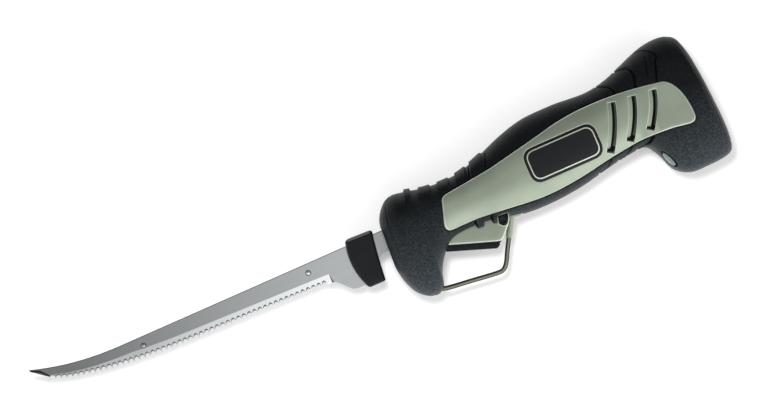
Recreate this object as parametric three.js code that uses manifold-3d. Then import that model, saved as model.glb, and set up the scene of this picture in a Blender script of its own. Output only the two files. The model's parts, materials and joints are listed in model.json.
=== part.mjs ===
// Cordless electric fillet knife, lying on its right side. Millimetres.
// Drawing frame: X runs from the blade tip to the pommel, Y towards the spine, Z out of the left side.
// The blades slide along the line Y = 0 in the mid-plane Z = 0.

import * as THREE from "three";
import { mergeVertices } from "three/addons/utils/BufferGeometryUtils.js";
import Module from "manifold-3d";

const wasm = await Module();
wasm.setup();

// Fits
const fit = 0.3; // between neighbouring pieces
const halfFit = fit / 2;

// Handle walls
const skin = 2.0; // rubber grip
const shellWall = 2.3; // housing behind the rubber
const flatHalf = 24; // half width across the nose and pommel flats
const ringPoints = 14; // points around each handle section
const ribHeight = 1.1;
const ribWidth = 7.4;
const ribPitch = 11.8;
const ribStart = 36.4;
const ribCount = 4;
const ribFloor = 15; // ribs run down the side to this height
const grooveDepth = 1.0;
const grooveWidth = 1.5;
const grooveLean = 0.22; // forward lean of a groove for each millimetre towards the mid-plane

// Side panels
const panelProud = 0.4;
const louvreCount = 3;
const louvreWidth = 5.4;
const louvreDepth = 1.2;
const slitWidth = 1.4;
const badgeAt = { x: 124, y: 5 };
const badgeLength = 46;
const badgeHeight = 21;
const badgeThickness = 0.9;
const badgeSink = 0.7;

// Blades
const halfStroke = 4;
const bladeLength = 203; // collar to tip
const bladeThickness = 1.1;
const bladeGap = 0.3; // between the twin blades
const spineHeight = 6.5;
const tipHeight = 15.2;
const heelDepth = 19.6;
const edgeAtHeel = 10.1;
const toothPitch = 3.5;
const toothDepth = 2;
const bevelWidth = 5.5;
const edgeThickness = 0.3;
const rivetRadius = 1.6;
const rivetHeight = 0.9;
const rivetY = 0.9;
const collarHalfWidth = 7;
const noseGap = 2; // left between collar and nose at full back stroke
const tangReach = 20; // tang end inside the handle
const studRadius = 2;

// Drive
const barHalfHeight = 4.2;
const barThickness = 2.5;
const wheelX = 96;
const wheelTeeth = 20;
const gearModule = 0.96;
const wheelWidth = 6;
const camThickness = 1.5;
const camWall = 0.6;
const yokeWall = 1.6;
const axleRadius = 1.5;
const wormRadius = 3.4;
const wormLength = 9;
const shaftRadius = 1.6;
const cheekThickness = 2.5;
const bushWall = 1.2;
const motorRadius = 14;
const motorLength = 44;
const motorWall = 1.2;
const motorPlateX = 109.5;
const motorPlate = 2.5;
const tabOffset = 8.5; // motor tabs from the shaft
const tabReach = 7;

// Trigger
const pivot = { x: 43, y: -10 };
const pinRadius = 1.5;
const pinHalf = 10.5; // half length of the trigger pin
const triggerHalf = 6.3;
const padHalf = 5.6;
const padThickness = 2.3;
const sole = { front: [38, -18], back: [66.5, -28.3] }; // underside of the trigger
const eyeFrame = 0.6; // frame around the lock button stands out this far
const eyeDepth = 4; // frame's depth along the button
const lock = { x: 75.6, y: -17.2 };
const lockRadius = 2.6;
const lockTravel = 2.5;
const lockNotch = { front: 3.2, back: 5.4, above: 3.6 }; // room around the button in the handle's sides
const slotHalf = 7.3;
const switchX = 65;
const plungerZ = 6;
const plungerRadius = 1.1;
const plungerEnd = -11.1;
const wireRadius = 1.45;
const socketRadius = 2.3;

// Power
const cellRadius = 8.5;
const cellLength = 49.5;
const cellX = 198.5;
const cellBottom = -20;
const pommelRoom = 15.9; // from the top of the cells to the top of the pommel
const boardThickness = 1.6;
const screwRadius = 1.45;
const screwHeadRadius = 3;
const screwHeadHeight = 2.6;
const screwHeadZ = 9; // underside of each screw head below the mid-plane
const bossRadius = 3.8;
const pommelTop = cellBottom + cellLength + pommelRoom;
const bossSpots = [[17, -31], [168, 30], [191, -30.5], [207, pommelTop - 7.4]];

// Derived
const bladeInner = bladeGap / 2;
const bladeOuter = bladeInner + bladeThickness;
const barInner = bladeOuter + fit;
const yokeInner = wheelWidth / 2 + camThickness + fit;
const cheekInner = yokeInner + barThickness + fit;
const camRadius = halfStroke + axleRadius + fit + camWall;
const pitchRadius = gearModule * wheelTeeth / 2;
const motorY = pitchRadius + wormRadius + halfFit;
const motorX = motorPlateX + motorPlate + fit;
const collarBack = 7 - halfStroke - noseGap;
const collarFront = collarBack - 19;
const tipX = collarFront - bladeLength;
const studX = tangReach - 4;
const sealBack = 9.5;
const barFront = sealBack + halfStroke + fit;

const rubber = material(0x24272a, 0.85, 0);
const rubberSoft = material(0x1d1f21, 0.9, 0);
const abs = material(0x2c2f31, 0.6, 0);
const sage = material(0x9aa391, 0.45, 0.25);
const steel = material(0xb9bec0, 0.3, 1);
const darkSteel = material(0x7c8184, 0.4, 1);
const nickel = material(0xa9a893, 0.3, 1);
const nylon = material(0xd9d6c8, 0.5, 0);
const brass = material(0xb59a55, 0.35, 1);
const copper = material(0xa5623d, 0.45, 0.8);
const board = material(0x2f5a3a, 0.6, 0);
const cellWrap = material(0x4f6f8f, 0.4, 0);
const lensTeal = material(0x8fa3a3, 0.15, 0);
const redWire = material(0x8e2f2a, 0.6, 0);
const blackWire = material(0x17181a, 0.6, 0);

function material(color, roughness, metalness) {
  return new THREE.MeshStandardMaterial({ color, roughness, metalness });
}

function solid(geometry) {
  const bare = new THREE.BufferGeometry();
  const flat = geometry.index ? geometry.toNonIndexed() : geometry;
  bare.setAttribute("position", flat.getAttribute("position"));
  const merged = mergeVertices(bare, 1e-4);
  const corners = merged.index.array;
  const kept = [];
  for (let i = 0; i < corners.length; i += 3) {
    const [a, b, c] = corners.slice(i, i + 3);
    if (a !== b && b !== c && c !== a) kept.push(a, b, c);
  }
  const build = (list) => new wasm.Manifold(new wasm.Mesh({
    numProp: 3,
    vertProperties: merged.getAttribute("position").array,
    triVerts: new Uint32Array(list),
  }));
  const made = build(kept);
  return made.volume() > 0 ? made : build(kept.reverse());
}

function union(parts) {
  return parts.reduce((all, part) => all.add(part));
}

function meshOf(name, body, look) {
  const raw = body.getMesh();
  const geometry = new THREE.BufferGeometry();
  geometry.setAttribute("position", new THREE.BufferAttribute(raw.vertProperties, 3));
  geometry.setIndex(new THREE.BufferAttribute(raw.triVerts, 1));
  geometry.computeVertexNormals();
  const mesh = new THREE.Mesh(geometry, look);
  mesh.name = name;
  return mesh;
}

function block(x0, x1, y0, y1, z0, z1) {
  const geometry = new THREE.BoxGeometry(x1 - x0, y1 - y0, z1 - z0);
  return solid(geometry.translate((x0 + x1) / 2, (y0 + y1) / 2, (z0 + z1) / 2));
}

function turn(geometry, axis) {
  if (axis === "x") geometry.rotateZ(-Math.PI / 2);
  if (axis === "z") geometry.rotateX(Math.PI / 2);
  return geometry;
}

// Round bar along one axis; `at` is its centre line in the other two coordinates.
function rod(axis, at, radius, from, to, sides = 14) {
  const geometry = turn(new THREE.CylinderGeometry(radius, radius, to - from, sides), axis);
  const middle = (from + to) / 2;
  const place = { x: [middle, at[0], at[1]], y: [at[0], middle, at[1]], z: [at[0], at[1], middle] };
  return solid(geometry.translate(...place[axis]));
}

// Solid of revolution about a line along X; the profile lists [along, radius].
function turnedX(profile, y, sides = 20) {
  const points = profile.map(([along, radius]) => new THREE.Vector2(radius, along));
  return solid(turn(new THREE.LatheGeometry(points, sides), "x").translate(0, y, 0));
}

function prism(shape, z0, z1, segments = 5) {
  const settings = { depth: z1 - z0, bevelEnabled: false, curveSegments: segments };
  return solid(new THREE.ExtrudeGeometry(shape, settings).translate(0, 0, z0));
}

// Points of an outline without a repeated end point, counter-clockwise.
function outlinePoints(shape, segments) {
  const points = shape.getPoints(segments).filter((point, i, all) => {
    const before = all[(i + all.length - 1) % all.length];
    return point.distanceTo(before) > 1e-3;
  });
  return THREE.ShapeUtils.isClockWise(points) ? points.reverse() : points;
}

function movedOut(points, distance) {
  return points.map((point, i) => {
    const before = points[(i + points.length - 1) % points.length];
    const after = points[(i + 1) % points.length];
    const run = after.clone().sub(before).normalize();
    return new THREE.Vector2(point.x + run.y * distance, point.y - run.x * distance);
  });
}

// Prism whose rims are taken off by `edge`.
function softPrism(shape, z0, z1, edge, segments = 5) {
  const points = outlinePoints(shape, segments);
  const levels = [[z0, edge], [z0 + edge, 0], [z1 - edge, 0], [z1, edge]];
  const corners = [];
  const faces = [];
  const count = points.length;
  levels.forEach(([z, inset], level) => {
    movedOut(points, -inset).forEach((point, k) => {
      corners.push(point.x, point.y, z);
      if (level === 0) return;
      const [a, b] = [(level - 1) * count + k, (level - 1) * count + (k + 1) % count];
      faces.push(a, b, b + count, a, b + count, a + count);
    });
  });
  const last = (levels.length - 1) * count;
  THREE.ShapeUtils.triangulateShape(points, []).forEach(([a, b, c]) => {
    faces.push(a, c, b, last + a, last + b, last + c);
  });
  const geometry = new THREE.BufferGeometry();
  geometry.setAttribute("position", new THREE.Float32BufferAttribute(corners, 3));
  geometry.setIndex(faces);
  return solid(geometry);
}

// Plate drawn in X and Z, standing on Y.
function plateXZ(points, y0, y1) {
  const shape = new THREE.Shape(points.map(([x, z]) => new THREE.Vector2(x, z)));
  const geometry = new THREE.ExtrudeGeometry(shape, { depth: y1 - y0, bevelEnabled: false });
  return solid(geometry.rotateX(Math.PI / 2).translate(0, y1, 0));
}

// Closed outline whose corners [x, y, radius] are rounded.
function rounded(corners) {
  const shape = new THREE.Shape();
  corners.forEach(([x, y, radius], i) => {
    const corner = new THREE.Vector2(x, y);
    const toward = (other) => {
      const way = new THREE.Vector2(other[0], other[1]).sub(corner);
      return corner.clone().add(way.setLength(Math.min(radius, way.length() / 2)));
    };
    const start = toward(corners[(i + corners.length - 1) % corners.length]);
    const end = toward(corners[(i + 1) % corners.length]);
    if (i === 0) shape.moveTo(start.x, start.y);
    else shape.lineTo(start.x, start.y);
    if (radius > 0) shape.quadraticCurveTo(x, y, end.x, end.y);
  });
  shape.closePath();
  return shape;
}

function rectangle(x0, x1, y0, y1, radius) {
  return rounded([[x0, y0, radius], [x1, y0, radius], [x1, y1, radius], [x0, y1, radius]]);
}

// The same outline, moved out by a distance.
function grown(shape, distance, segments = 5) {
  return new THREE.Shape(movedOut(outlinePoints(shape, segments), distance));
}

// Strip of even width along a line of points.
function strip(line, width) {
  const sides = [1, -1].map((side) => line.map((point, i) => {
    const before = line[Math.max(i - 1, 0)];
    const after = line[Math.min(i + 1, line.length - 1)];
    const run = after.clone().sub(before).normalize();
    return new THREE.Vector2(point.x - side * run.y * width / 2, point.y + side * run.x * width / 2);
  }));
  return new THREE.Shape([...sides[0], ...sides[1].reverse()]);
}

function bent(points, radius, sides = 4, steps = 22) {
  const path = new THREE.CatmullRomCurve3(points.map((p) => new THREE.Vector3(...p)), false, "centripetal");
  const round = new THREE.Shape().absarc(0, 0, radius, 0, 2 * Math.PI);
  const settings = { steps, extrudePath: path, curveSegments: sides, bevelEnabled: false };
  return solid(new THREE.ExtrudeGeometry(round, settings));
}

// Handle sections from nose to pommel: top x, top y, bottom x, bottom y, half width, squareness.
const sections = [
  [7.0, 10.5, 5.2, -16.0, 13.0, 3.0],
  [8.6, 14.5, 5.9, -23.0, 16.5, 3.0],
  [11.5, 18.5, 8.2, -31.0, 20.0, 3.0],
  [15.5, 22.0, 12.0, -37.3, 23.0, 3.0],
  [20.0, 23.4, 17.5, -41.4, 25.6, 3.0],
  [26.0, 22.6, 23.5, -42.2, 25.8, 3.0],
  [31.0, 21.6, 27.3, -39.0, 24.6, 3.0],
  [35.0, 20.6, 30.0, -31.0, 22.3, 2.9],
  [40.0, 19.6, 34.5, -23.5, 20.4, 2.8],
  [47.0, 18.9, 42.0, -16.3, 18.9, 2.7],
  [60.0, 19.2, 58.0, -14.2, 18.4, 2.6],
  [78.0, 24.0, 78.0, -16.8, 19.7, 2.6],
  [92.0, 29.2, 90.0, -19.1, 20.6, 2.6],
  [108.0, 33.4, 105.0, -19.8, 21.2, 2.6],
  [128.0, 34.2, 124.0, -18.5, 21.0, 2.6],
  [155.0, 33.0, 149.0, -13.8, 20.2, 2.6],
  [166.0, 35.2, 161.0, -12.0, 20.3, 2.7],
  [176.0, 38.8, 171.5, -12.0, 21.2, 2.8],
  [186.0, pommelTop - 2.9, 177.0, -19.5, 22.8, 3.0],
  [195.0, pommelTop - 0.5, 182.0, -31.0, 25.0, 3.2],
  [203.0, pommelTop, 190.0, -36.4, 26.0, 3.3],
  [209.5, pommelTop - 1.6, 203.0, -37.0, 26.0, 3.3],
  [213.8, pommelTop - 5.2, 213.0, -36.2, 25.0, 3.2],
  [216.5, 32.0, 217.5, -34.3, 21.6, 3.0],
  [218.0, 22.0, 219.6, -29.0, 17.5, 3.0],
  [218.8, 14.0, 220.3, -21.0, 12.0, 3.0],
];

// Outward direction of the top line (column 0) or the bottom line (column 2) at a section.
function outward(index, column) {
  const before = sections[Math.max(index - 1, 0)];
  const after = sections[Math.min(index + 1, sections.length - 1)];
  const run = new THREE.Vector2(after[column] - before[column], after[column + 1] - before[column + 1]);
  run.normalize();
  return column === 0 ? new THREE.Vector2(-run.y, run.x) : new THREE.Vector2(run.y, -run.x);
}

// Handle body, its whole surface moved in by `inset`.
function handle(inset) {
  const corners = [];
  const faces = [];
  sections.forEach(([topX, topY, bottomX, bottomY, half, square], index) => {
    const top = new THREE.Vector2(topX, topY).addScaledVector(outward(index, 0), -inset);
    const bottom = new THREE.Vector2(bottomX, bottomY).addScaledVector(outward(index, 2), -inset);
    for (let k = 0; k < ringPoints; k += 1) {
      const angle = 2 * Math.PI * k / ringPoints;
      const bulge = (value) => Math.sign(value) * Math.abs(value) ** (2 / square);
      const up = k === 0 || k * 2 === ringPoints ? Math.cos(angle) : bulge(Math.cos(angle));
      const side = k === 0 || k * 2 === ringPoints ? 0 : bulge(Math.sin(angle));
      const flat = flatHalf - Math.max(inset, 0);
      const z = THREE.MathUtils.clamp((half - inset) * side, -flat, flat);
      corners.push((top.x + bottom.x) / 2 + (top.x - bottom.x) / 2 * up);
      corners.push((top.y + bottom.y) / 2 + (top.y - bottom.y) / 2 * up);
      corners.push(z);
    }
  });
  const last = (sections.length - 1) * ringPoints;
  for (let start = 0; start < last; start += ringPoints) {
    for (let k = 0; k < ringPoints; k += 1) {
      const next = (k + 1) % ringPoints;
      const [a, b, c, d] = [start + k, start + next, start + ringPoints + next, start + ringPoints + k];
      faces.push(a, b, d, b, c, d);
    }
  }
  for (let k = 1; k < ringPoints - 1; k += 1) {
    faces.push(0, k + 1, k, last, last + k, last + k + 1);
  }
  const geometry = new THREE.BufferGeometry();
  geometry.setAttribute("position", new THREE.Float32BufferAttribute(corners, 3));
  geometry.setIndex(faces);
  return solid(geometry);
}

const outerForm = handle(0);
const skinBack = handle(skin);
const shellFront = handle(skin + fit);
const shellBack = handle(skin + fit + shellWall);
const farZ = 40; // beyond the widest point
const farX = 300; // beyond either end
const leftSpace = block(-farX, farX, -farX, farX, halfFit, farZ);

function panelOutline() {
  const shape = new THREE.Shape();
  const through = (list) => shape.splineThru(list.map(([x, y]) => new THREE.Vector2(x, y)));
  shape.moveTo(46, -10.6);
  through([[62, -10.6], [80, -12.3], [104, -14.5], [126, -13.2], [150, -9.4], [172, -7], [190, -7.8]]);
  shape.lineTo(200, -9.5);
  shape.quadraticCurveTo(205, -10, 205.2, -5);
  shape.bezierCurveTo(205.4, 4, 203, 17, 195, 20.4);
  through([[172, 24], [150, 25.3], [130, 24], [106, 19.3], [80, 14.4]]);
  shape.lineTo(51, 11.1);
  shape.quadraticCurveTo(47.6, 10.7, 46.6, 8.8);
  shape.lineTo(41.9, -5.5);
  shape.quadraticCurveTo(41, -10.2, 46, -10.6);
  return shape;
}

const panelShape = panelOutline();
const panelSegments = 2;

// Centre line of one louvre; t runs from 0 at its lower end to 1 at its upper end.
function louvreLine(index, t0, t1, shift, steps) {
  const low = new THREE.Vector2(150.3 + 13.8 * index, -6.6 + 1.5 * index);
  const high = new THREE.Vector2(162.9 + 12.9 * index, 21.4 - 1.5 * index);
  const bow = low.clone().add(high).multiplyScalar(0.5).add(new THREE.Vector2(3.4, 1.4));
  const points = [];
  for (let i = 0; i <= steps; i += 1) {
    const t = t0 + (t1 - t0) * i / steps;
    const point = low.clone().multiplyScalar((1 - t) ** 2);
    point.addScaledVector(bow, 2 * (1 - t) * t).addScaledVector(high, t * t);
    points.push(point.add(new THREE.Vector2(shift, 0)));
  }
  return points;
}

// Groove around the rubber in line with a louvre, leaning forward towards the mid-plane.
function grooveCut(index) {
  const line = strip(louvreLine(index, -0.5, 1.75, 0, 7), grooveWidth);
  const settings = { depth: farZ, bevelEnabled: false };
  const geometry = new THREE.ExtrudeGeometry(line, settings);
  const lean = new THREE.Matrix4().makeShear(0, 0, 0, 0, grooveLean, 0);
  geometry.applyMatrix4(lean).translate(-grooveLean * flatHalf, 0, 0);
  return solid(geometry).subtract(handle(grooveDepth));
}

function ribs() {
  const bands = [[28, 31.6]];
  for (let i = 0; i < ribCount; i += 1) {
    bands.push([ribStart + i * ribPitch, ribStart + i * ribPitch + ribWidth]);
  }
  const raised = handle(-ribHeight);
  return bands.map(([x0, x1]) => raised.intersect(block(x0, x1, ribFloor, 60, -farZ, farZ)));
}

function underRibs() {
  const raised = handle(-ribHeight);
  return [58, 68].map((x) => raised.intersect(block(x, x + 4.4, -30, -11.6, -farZ, farZ)));
}

function noseOpening() {
  return block(-20, 24, -9.5, 9.5, -7.5, 7.5);
}

function triggerSlot() {
  const outline = [[34.6, -7.6], [34.6, -21.8], [45, -40], [88.4, -40], [88.4, -10.6], [83, -7.6]];
  const slot = prism(new THREE.Shape(outline.map(([x, y]) => new THREE.Vector2(x, y))), -slotHalf, slotHalf);
  const { front, back, above } = lockNotch;
  return slot.add(block(lock.x - front, lock.x + back, -40, lock.y + above, -farZ, farZ));
}

const guardPath = [
  [20.5, -36.4, 0], [24.5, -39.4, 0], [29, -41.1, 0], [44, -43, 0], [59, -44.9, 0], [63.8, -44.6, 0],
  [67, -41.6, 0], [70.4, -35.6, 0], [74.3, -28.9, 0], [78.5, -21.6, 0], [82, -15.5, 0],
];

function lensPlug(grow) {
  const face = new THREE.Vector3(-0.8, -0.38, 0.46).normalize();
  const along = new THREE.Vector3(0.434, -0.9, 0);
  along.addScaledVector(face, -along.dot(face)).normalize();
  const across = face.clone().cross(along);
  const oval = new THREE.Shape().absellipse(0, 0, 6.3 + grow, 4.2 + grow, 0, 2 * Math.PI, false, 0);
  const settings = { depth: 16, bevelEnabled: false, curveSegments: 6 };
  const geometry = new THREE.ExtrudeGeometry(oval, settings).translate(0, 0, -8);
  geometry.applyMatrix4(new THREE.Matrix4().makeBasis(along, across, face));
  return solid(geometry.translate(180.6, -23.8, 14.6));
}

function gripHalf(wells) {
  let body = union([outerForm, ...ribs(), ...underRibs()]).intersect(leftSpace);
  body = body.subtract(skinBack).subtract(prism(grown(panelShape, fit, panelSegments), 4, farZ));
  for (let i = 0; i < louvreCount; i += 1) body = body.subtract(grooveCut(i));
  body = body.subtract(noseOpening()).subtract(triggerSlot()).subtract(bent(guardPath, wireRadius + fit));
  body = body.subtract(lensPlug(fit));
  if (!wells) return body;
  return body.subtract(union(bossSpots.map((at) => rod("z", at, screwHeadRadius + fit, 2, farZ, 10))));
}

function housingHalf(wells) {
  const cellTop = cellBottom + cellLength;
  const inside = [
    block(48.5, 56.5, -6, -barHalfHeight - fit, 0, farZ),
    block(126, 128.2, -40, 60, 0, farZ),
    block(150, 152.2, -40, 60, 0, farZ),
    block(88, 106, 2, 8, cheekInner + cheekThickness + fit, farZ),
    block(192, 206, cellBottom - 6, cellBottom - 3.8, 0, farZ),
    block(192, 206, cellTop + 3.8, cellTop + 6, 0, farZ),
    rod("z", [pivot.x, pivot.y], pinRadius + 2.1, slotHalf, farZ, 10),
    ...bossSpots.map((at) => rod("z", at, bossRadius, 0, farZ, 10)),
  ];
  if (!wells) inside.push(block(60, 68, -5, 1, 10.7, farZ));
  let body = shellFront.subtract(shellBack).add(union(inside).intersect(shellFront)).intersect(leftSpace);
  body = body.subtract(noseOpening()).subtract(triggerSlot());
  const barRoom = barHalfHeight + fit;
  body = body.subtract(block(10, 70, -barRoom, barRoom, 0, barInner + barThickness + fit));
  body = body.subtract(rod("x", [motorY, 0], motorRadius + fit, motorX - 2, motorX + motorLength + 2, 18));
  body = body.subtract(block(120, 156, -9, -4, 0, 6)).subtract(bent(guardPath, wireRadius + fit));
  body = body.subtract(rod("z", [pivot.x, pivot.y], pinRadius + fit, 0, pinHalf + fit, 10));
  bossSpots.forEach((at) => {
    body = body.subtract(rod("z", at, screwRadius + fit, 0, wells ? farZ : 11, 8));
    if (wells) body = body.subtract(rod("z", at, screwHeadRadius + fit, screwHeadZ - fit, farZ, 10));
  });
  return body;
}

function badgeShape() {
  const [halfLength, halfHeight] = [badgeLength / 2, badgeHeight / 2];
  const { x, y } = badgeAt;
  return rectangle(x - halfLength, x + halfLength, y - halfHeight, y + halfHeight, 7);
}

function panel() {
  const front = handle(-panelProud);
  let body = prism(panelShape, 4, farZ, panelSegments).intersect(front).subtract(skinBack);
  const floor = handle(louvreDepth - panelProud);
  for (let i = 0; i < louvreCount; i += 1) {
    const scoop = strip(louvreLine(i, 0, 1, 0, 4), louvreWidth);
    body = body.subtract(prism(scoop, 4, farZ).subtract(floor));
    const slit = strip(louvreLine(i, 0.03, 0.97, (louvreWidth - slitWidth) / 4, 4), slitWidth);
    body = body.subtract(prism(slit, 4, farZ));
  }
  return body.subtract(prism(grown(badgeShape(), fit), 4, farZ).subtract(handle(badgeSink)));
}

function badge() {
  const back = badgeSink - fit;
  return prism(badgeShape(), 4, farZ).intersect(handle(back - badgeThickness)).subtract(handle(back));
}

function lens() {
  return lensPlug(0).intersect(handle(-halfFit)).subtract(handle(skin - fit));
}

// Cutting edge from heel to tip: straight, then sweeping up.
function edgePoint(t) {
  const heel = new THREE.Vector2(collarFront - 18, -edgeAtHeel);
  const bendX = tipX + 111;
  const bend = new THREE.Vector2(bendX, -edgeAtHeel + (heel.x - bendX) * 0.027);
  const control = new THREE.Vector2(tipX + 32, bend.y + 1.5);
  const end = new THREE.Vector2(tipX + 10, tipHeight - 8.9);
  const straight = heel.x - bend.x;
  const sweep = new THREE.QuadraticBezierCurve(bend, control, end);
  const whole = straight + sweep.getLength();
  const run = t * whole;
  if (run < straight) return heel.lerp(bend, run / straight);
  return sweep.getPointAt((run - straight) / (whole - straight));
}

function edgeLength() {
  let sum = 0;
  for (let i = 0; i < 40; i += 1) sum += edgePoint(i / 40).distanceTo(edgePoint((i + 1) / 40));
  return sum;
}

// Blade in side view. The teeth of both blades are in line at the middle of the stroke.
function bladeOutline() {
  const shape = new THREE.Shape();
  shape.moveTo(tangReach, spineHeight);
  shape.lineTo(tipX + 56, spineHeight);
  shape.quadraticCurveTo(tipX + 26, spineHeight, tipX, tipHeight);
  shape.lineTo(tipX + 0.4, tipHeight - 1);
  shape.lineTo(tipX + 5.2, tipHeight - 4.4);
  const teeth = Math.round(edgeLength() / toothPitch);
  for (let i = 0; i < teeth; i += 1) {
    const tip = edgePoint(1 - i / teeth);
    const next = edgePoint(1 - (i + 1) / teeth);
    const run = next.clone().sub(tip);
    const lift = new THREE.Vector2(-run.y, run.x).setLength(toothDepth);
    const early = tip.clone().addScaledVector(run, 0.3).add(lift);
    const late = tip.clone().addScaledVector(run, 0.7).add(lift);
    shape.lineTo(tip.x, tip.y);
    shape.lineTo(early.x, early.y);
    shape.lineTo(late.x, late.y);
  }
  const heelX = collarFront - 15;
  shape.lineTo(collarFront - 18, -edgeAtHeel);
  shape.lineTo(heelX, -edgeAtHeel - 0.4);
  shape.bezierCurveTo(heelX + 5, -edgeAtHeel - 1, heelX + 8, -heelDepth, heelX + 13, -heelDepth);
  shape.lineTo(collarFront + 4, -heelDepth);
  shape.lineTo(collarBack - 2.5, -8);
  shape.lineTo(collarBack + 1, -spineHeight);
  shape.lineTo(tangReach, -spineHeight);
  return shape;
}

// Wedge taken off the outer face towards the cutting edge.
function bevelCut() {
  const rings = [];
  const count = 14;
  for (let i = 0; i <= count; i += 1) {
    const t = i / count;
    const edge = edgePoint(t);
    const width = bevelWidth * Math.min(1, 0.35 + 2.2 * (1 - t));
    const drop = bladeThickness - edgeThickness;
    const x = i === 0 ? edge.x + 2 : edge.x;
    rings.push([x, edge.y + width, bladeOuter], [x, edge.y + width, bladeOuter + 2]);
    rings.push([x, edge.y - width, bladeOuter + 2], [x, edge.y - width, bladeOuter - 2 * drop]);
  }
  const faces = [];
  for (let i = 0; i < count; i += 1) {
    for (let k = 0; k < 4; k += 1) {
      const [a, b] = [4 * i + k, 4 * i + (k + 1) % 4];
      faces.push(a, b, a + 4, b, b + 4, a + 4);
    }
  }
  const last = 4 * count;
  faces.push(0, 2, 1, 0, 3, 2, last, last + 1, last + 2, last, last + 2, last + 3);
  const geometry = new THREE.BufferGeometry();
  geometry.setAttribute("position", new THREE.Float32BufferAttribute(rings.flat(), 3));
  geometry.setIndex(faces);
  return solid(geometry);
}

const rivetXs = [collarFront - 26, tipX + 69];

function blade(slotted) {
  let body = prism(bladeOutline(), bladeInner, bladeOuter, 6).subtract(bevelCut());
  const reach = slotted ? 2 * halfStroke : 0;
  const hole = rivetRadius - 0.5 + fit;
  rivetXs.forEach((x) => {
    const cut = rectangle(x - reach - hole, x + reach + hole, rivetY - hole, rivetY + hole, hole);
    body = body.subtract(prism(cut, 0, bladeOuter + 1));
  });
  return body.subtract(rod("z", [studX, 0], studRadius + fit, 0, bladeOuter + 1));
}

// Rivet through both blades with a domed head on either side.
function rivet(x) {
  const tall = bladeOuter + halfFit;
  const shank = rivetRadius - 0.5;
  const crown = tall + rivetHeight;
  const shoulder = tall + 0.8 * rivetHeight;
  const dome = [[crown, 0], [shoulder, 0.7 * rivetRadius], [tall, rivetRadius], [tall, shank]];
  const profile = [...dome, ...dome.map(([along, radius]) => [-along, radius]).reverse()];
  const points = profile.map(([along, radius]) => new THREE.Vector2(radius, along));
  return solid(turn(new THREE.LatheGeometry(points, 12), "z").translate(x, rivetY, 0));
}

function collar() {
  const shape = new THREE.Shape();
  shape.moveTo(collarBack - 1.8, 9.5);
  shape.lineTo(collarFront + 4.2, 10);
  shape.quadraticCurveTo(collarFront + 1.4, 10, collarFront + 1.2, 7);
  shape.quadraticCurveTo(collarFront - 2.5, -7, collarFront + 3.4, -20.6);
  shape.quadraticCurveTo(collarFront + 4, -22, collarFront + 5.6, -22);
  shape.lineTo(collarBack - 5.2, -22);
  shape.quadraticCurveTo(collarBack - 4, -22, collarBack - 4, -20.4);
  shape.quadraticCurveTo(collarBack - 2.4, -4, collarBack, 7.6);
  shape.quadraticCurveTo(collarBack + 0.2, 9.3, collarBack - 1.8, 9.5);
  const root = [
    [collarFront - 20, spineHeight + fit], [collarBack + 9, spineHeight + fit],
    [collarBack + 9, -spineHeight - fit], [collarBack + 1.2, -spineHeight - fit],
    [collarBack - 2.2, -8 - fit], [collarFront + 4.4, -heelDepth - fit],
    [collarFront - 20, -heelDepth - fit],
  ];
  const slot = prism(new THREE.Shape(root.map(([x, y]) => new THREE.Vector2(x, y))), -1, bladeOuter + fit);
  return softPrism(shape, -collarHalfWidth, collarHalfWidth, 1.3, 4).intersect(leftSpace).subtract(slot);
}

function driveBar() {
  const [low, high] = [barInner, yokeInner];
  const windowX = camRadius + fit;
  const windowY = camRadius + halfStroke + fit;
  const yokeFront = wheelX - windowX - yokeWall / 2;
  const line = [
    [barFront, low], [76, low], [84, high], [yokeFront, high],
    [yokeFront, high + barThickness], [83, high + barThickness],
    [75, low + barThickness], [barFront, low + barThickness],
  ];
  const frame = rectangle(wheelX - windowX - yokeWall, wheelX + windowX + yokeWall, -windowY - yokeWall,
    windowY + yokeWall, 3);
  frame.holes.push(rectangle(wheelX - windowX, wheelX + windowX, -windowY, windowY, 1.5));
  const bar = plateXZ(line, -barHalfHeight, barHalfHeight);
  const stud = rod("z", [studX, 0], studRadius, bladeInner + 0.2, low + 1);
  return union([bar, prism(frame, high, high + barThickness), stud]);
}

function wormWheel() {
  const points = [];
  for (let i = 0; i < wheelTeeth; i += 1) {
    const step = 2 * Math.PI / wheelTeeth;
    const root = pitchRadius - 1.25 * gearModule;
    const tip = pitchRadius + 0.9 * gearModule;
    [[-0.27, root], [-0.1, tip], [0.1, tip], [0.27, root]].forEach(([share, radius]) => {
      const angle = (i + share) * step;
      points.push(new THREE.Vector2(radius * Math.sin(angle), radius * Math.cos(angle)));
    });
  }
  const settings = { depth: wheelWidth, bevelEnabled: false, steps: 1 };
  const face = wheelWidth / 2;
  const geometry = new THREE.ExtrudeGeometry(new THREE.Shape(points), settings).translate(0, 0, -face);
  const place = geometry.getAttribute("position");
  const twist = gearModule / (2 * wormRadius) / pitchRadius;
  for (let i = 0; i < place.count; i += 1) {
    const angle = twist * place.getZ(i);
    const [x, y] = [place.getX(i), place.getY(i)];
    place.setXY(i, x * Math.cos(angle) - y * Math.sin(angle), x * Math.sin(angle) + y * Math.cos(angle));
  }
  const cams = [
    rod("z", [wheelX, halfStroke], camRadius, face - 0.5, face + camThickness, 20),
    rod("z", [wheelX, -halfStroke], camRadius, -face - camThickness, 0.5 - face, 20),
  ];
  const gear = solid(geometry.translate(wheelX, 0, 0));
  return union([gear, ...cams]).subtract(rod("z", [wheelX, 0], axleRadius + fit, -20, 20));
}

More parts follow.
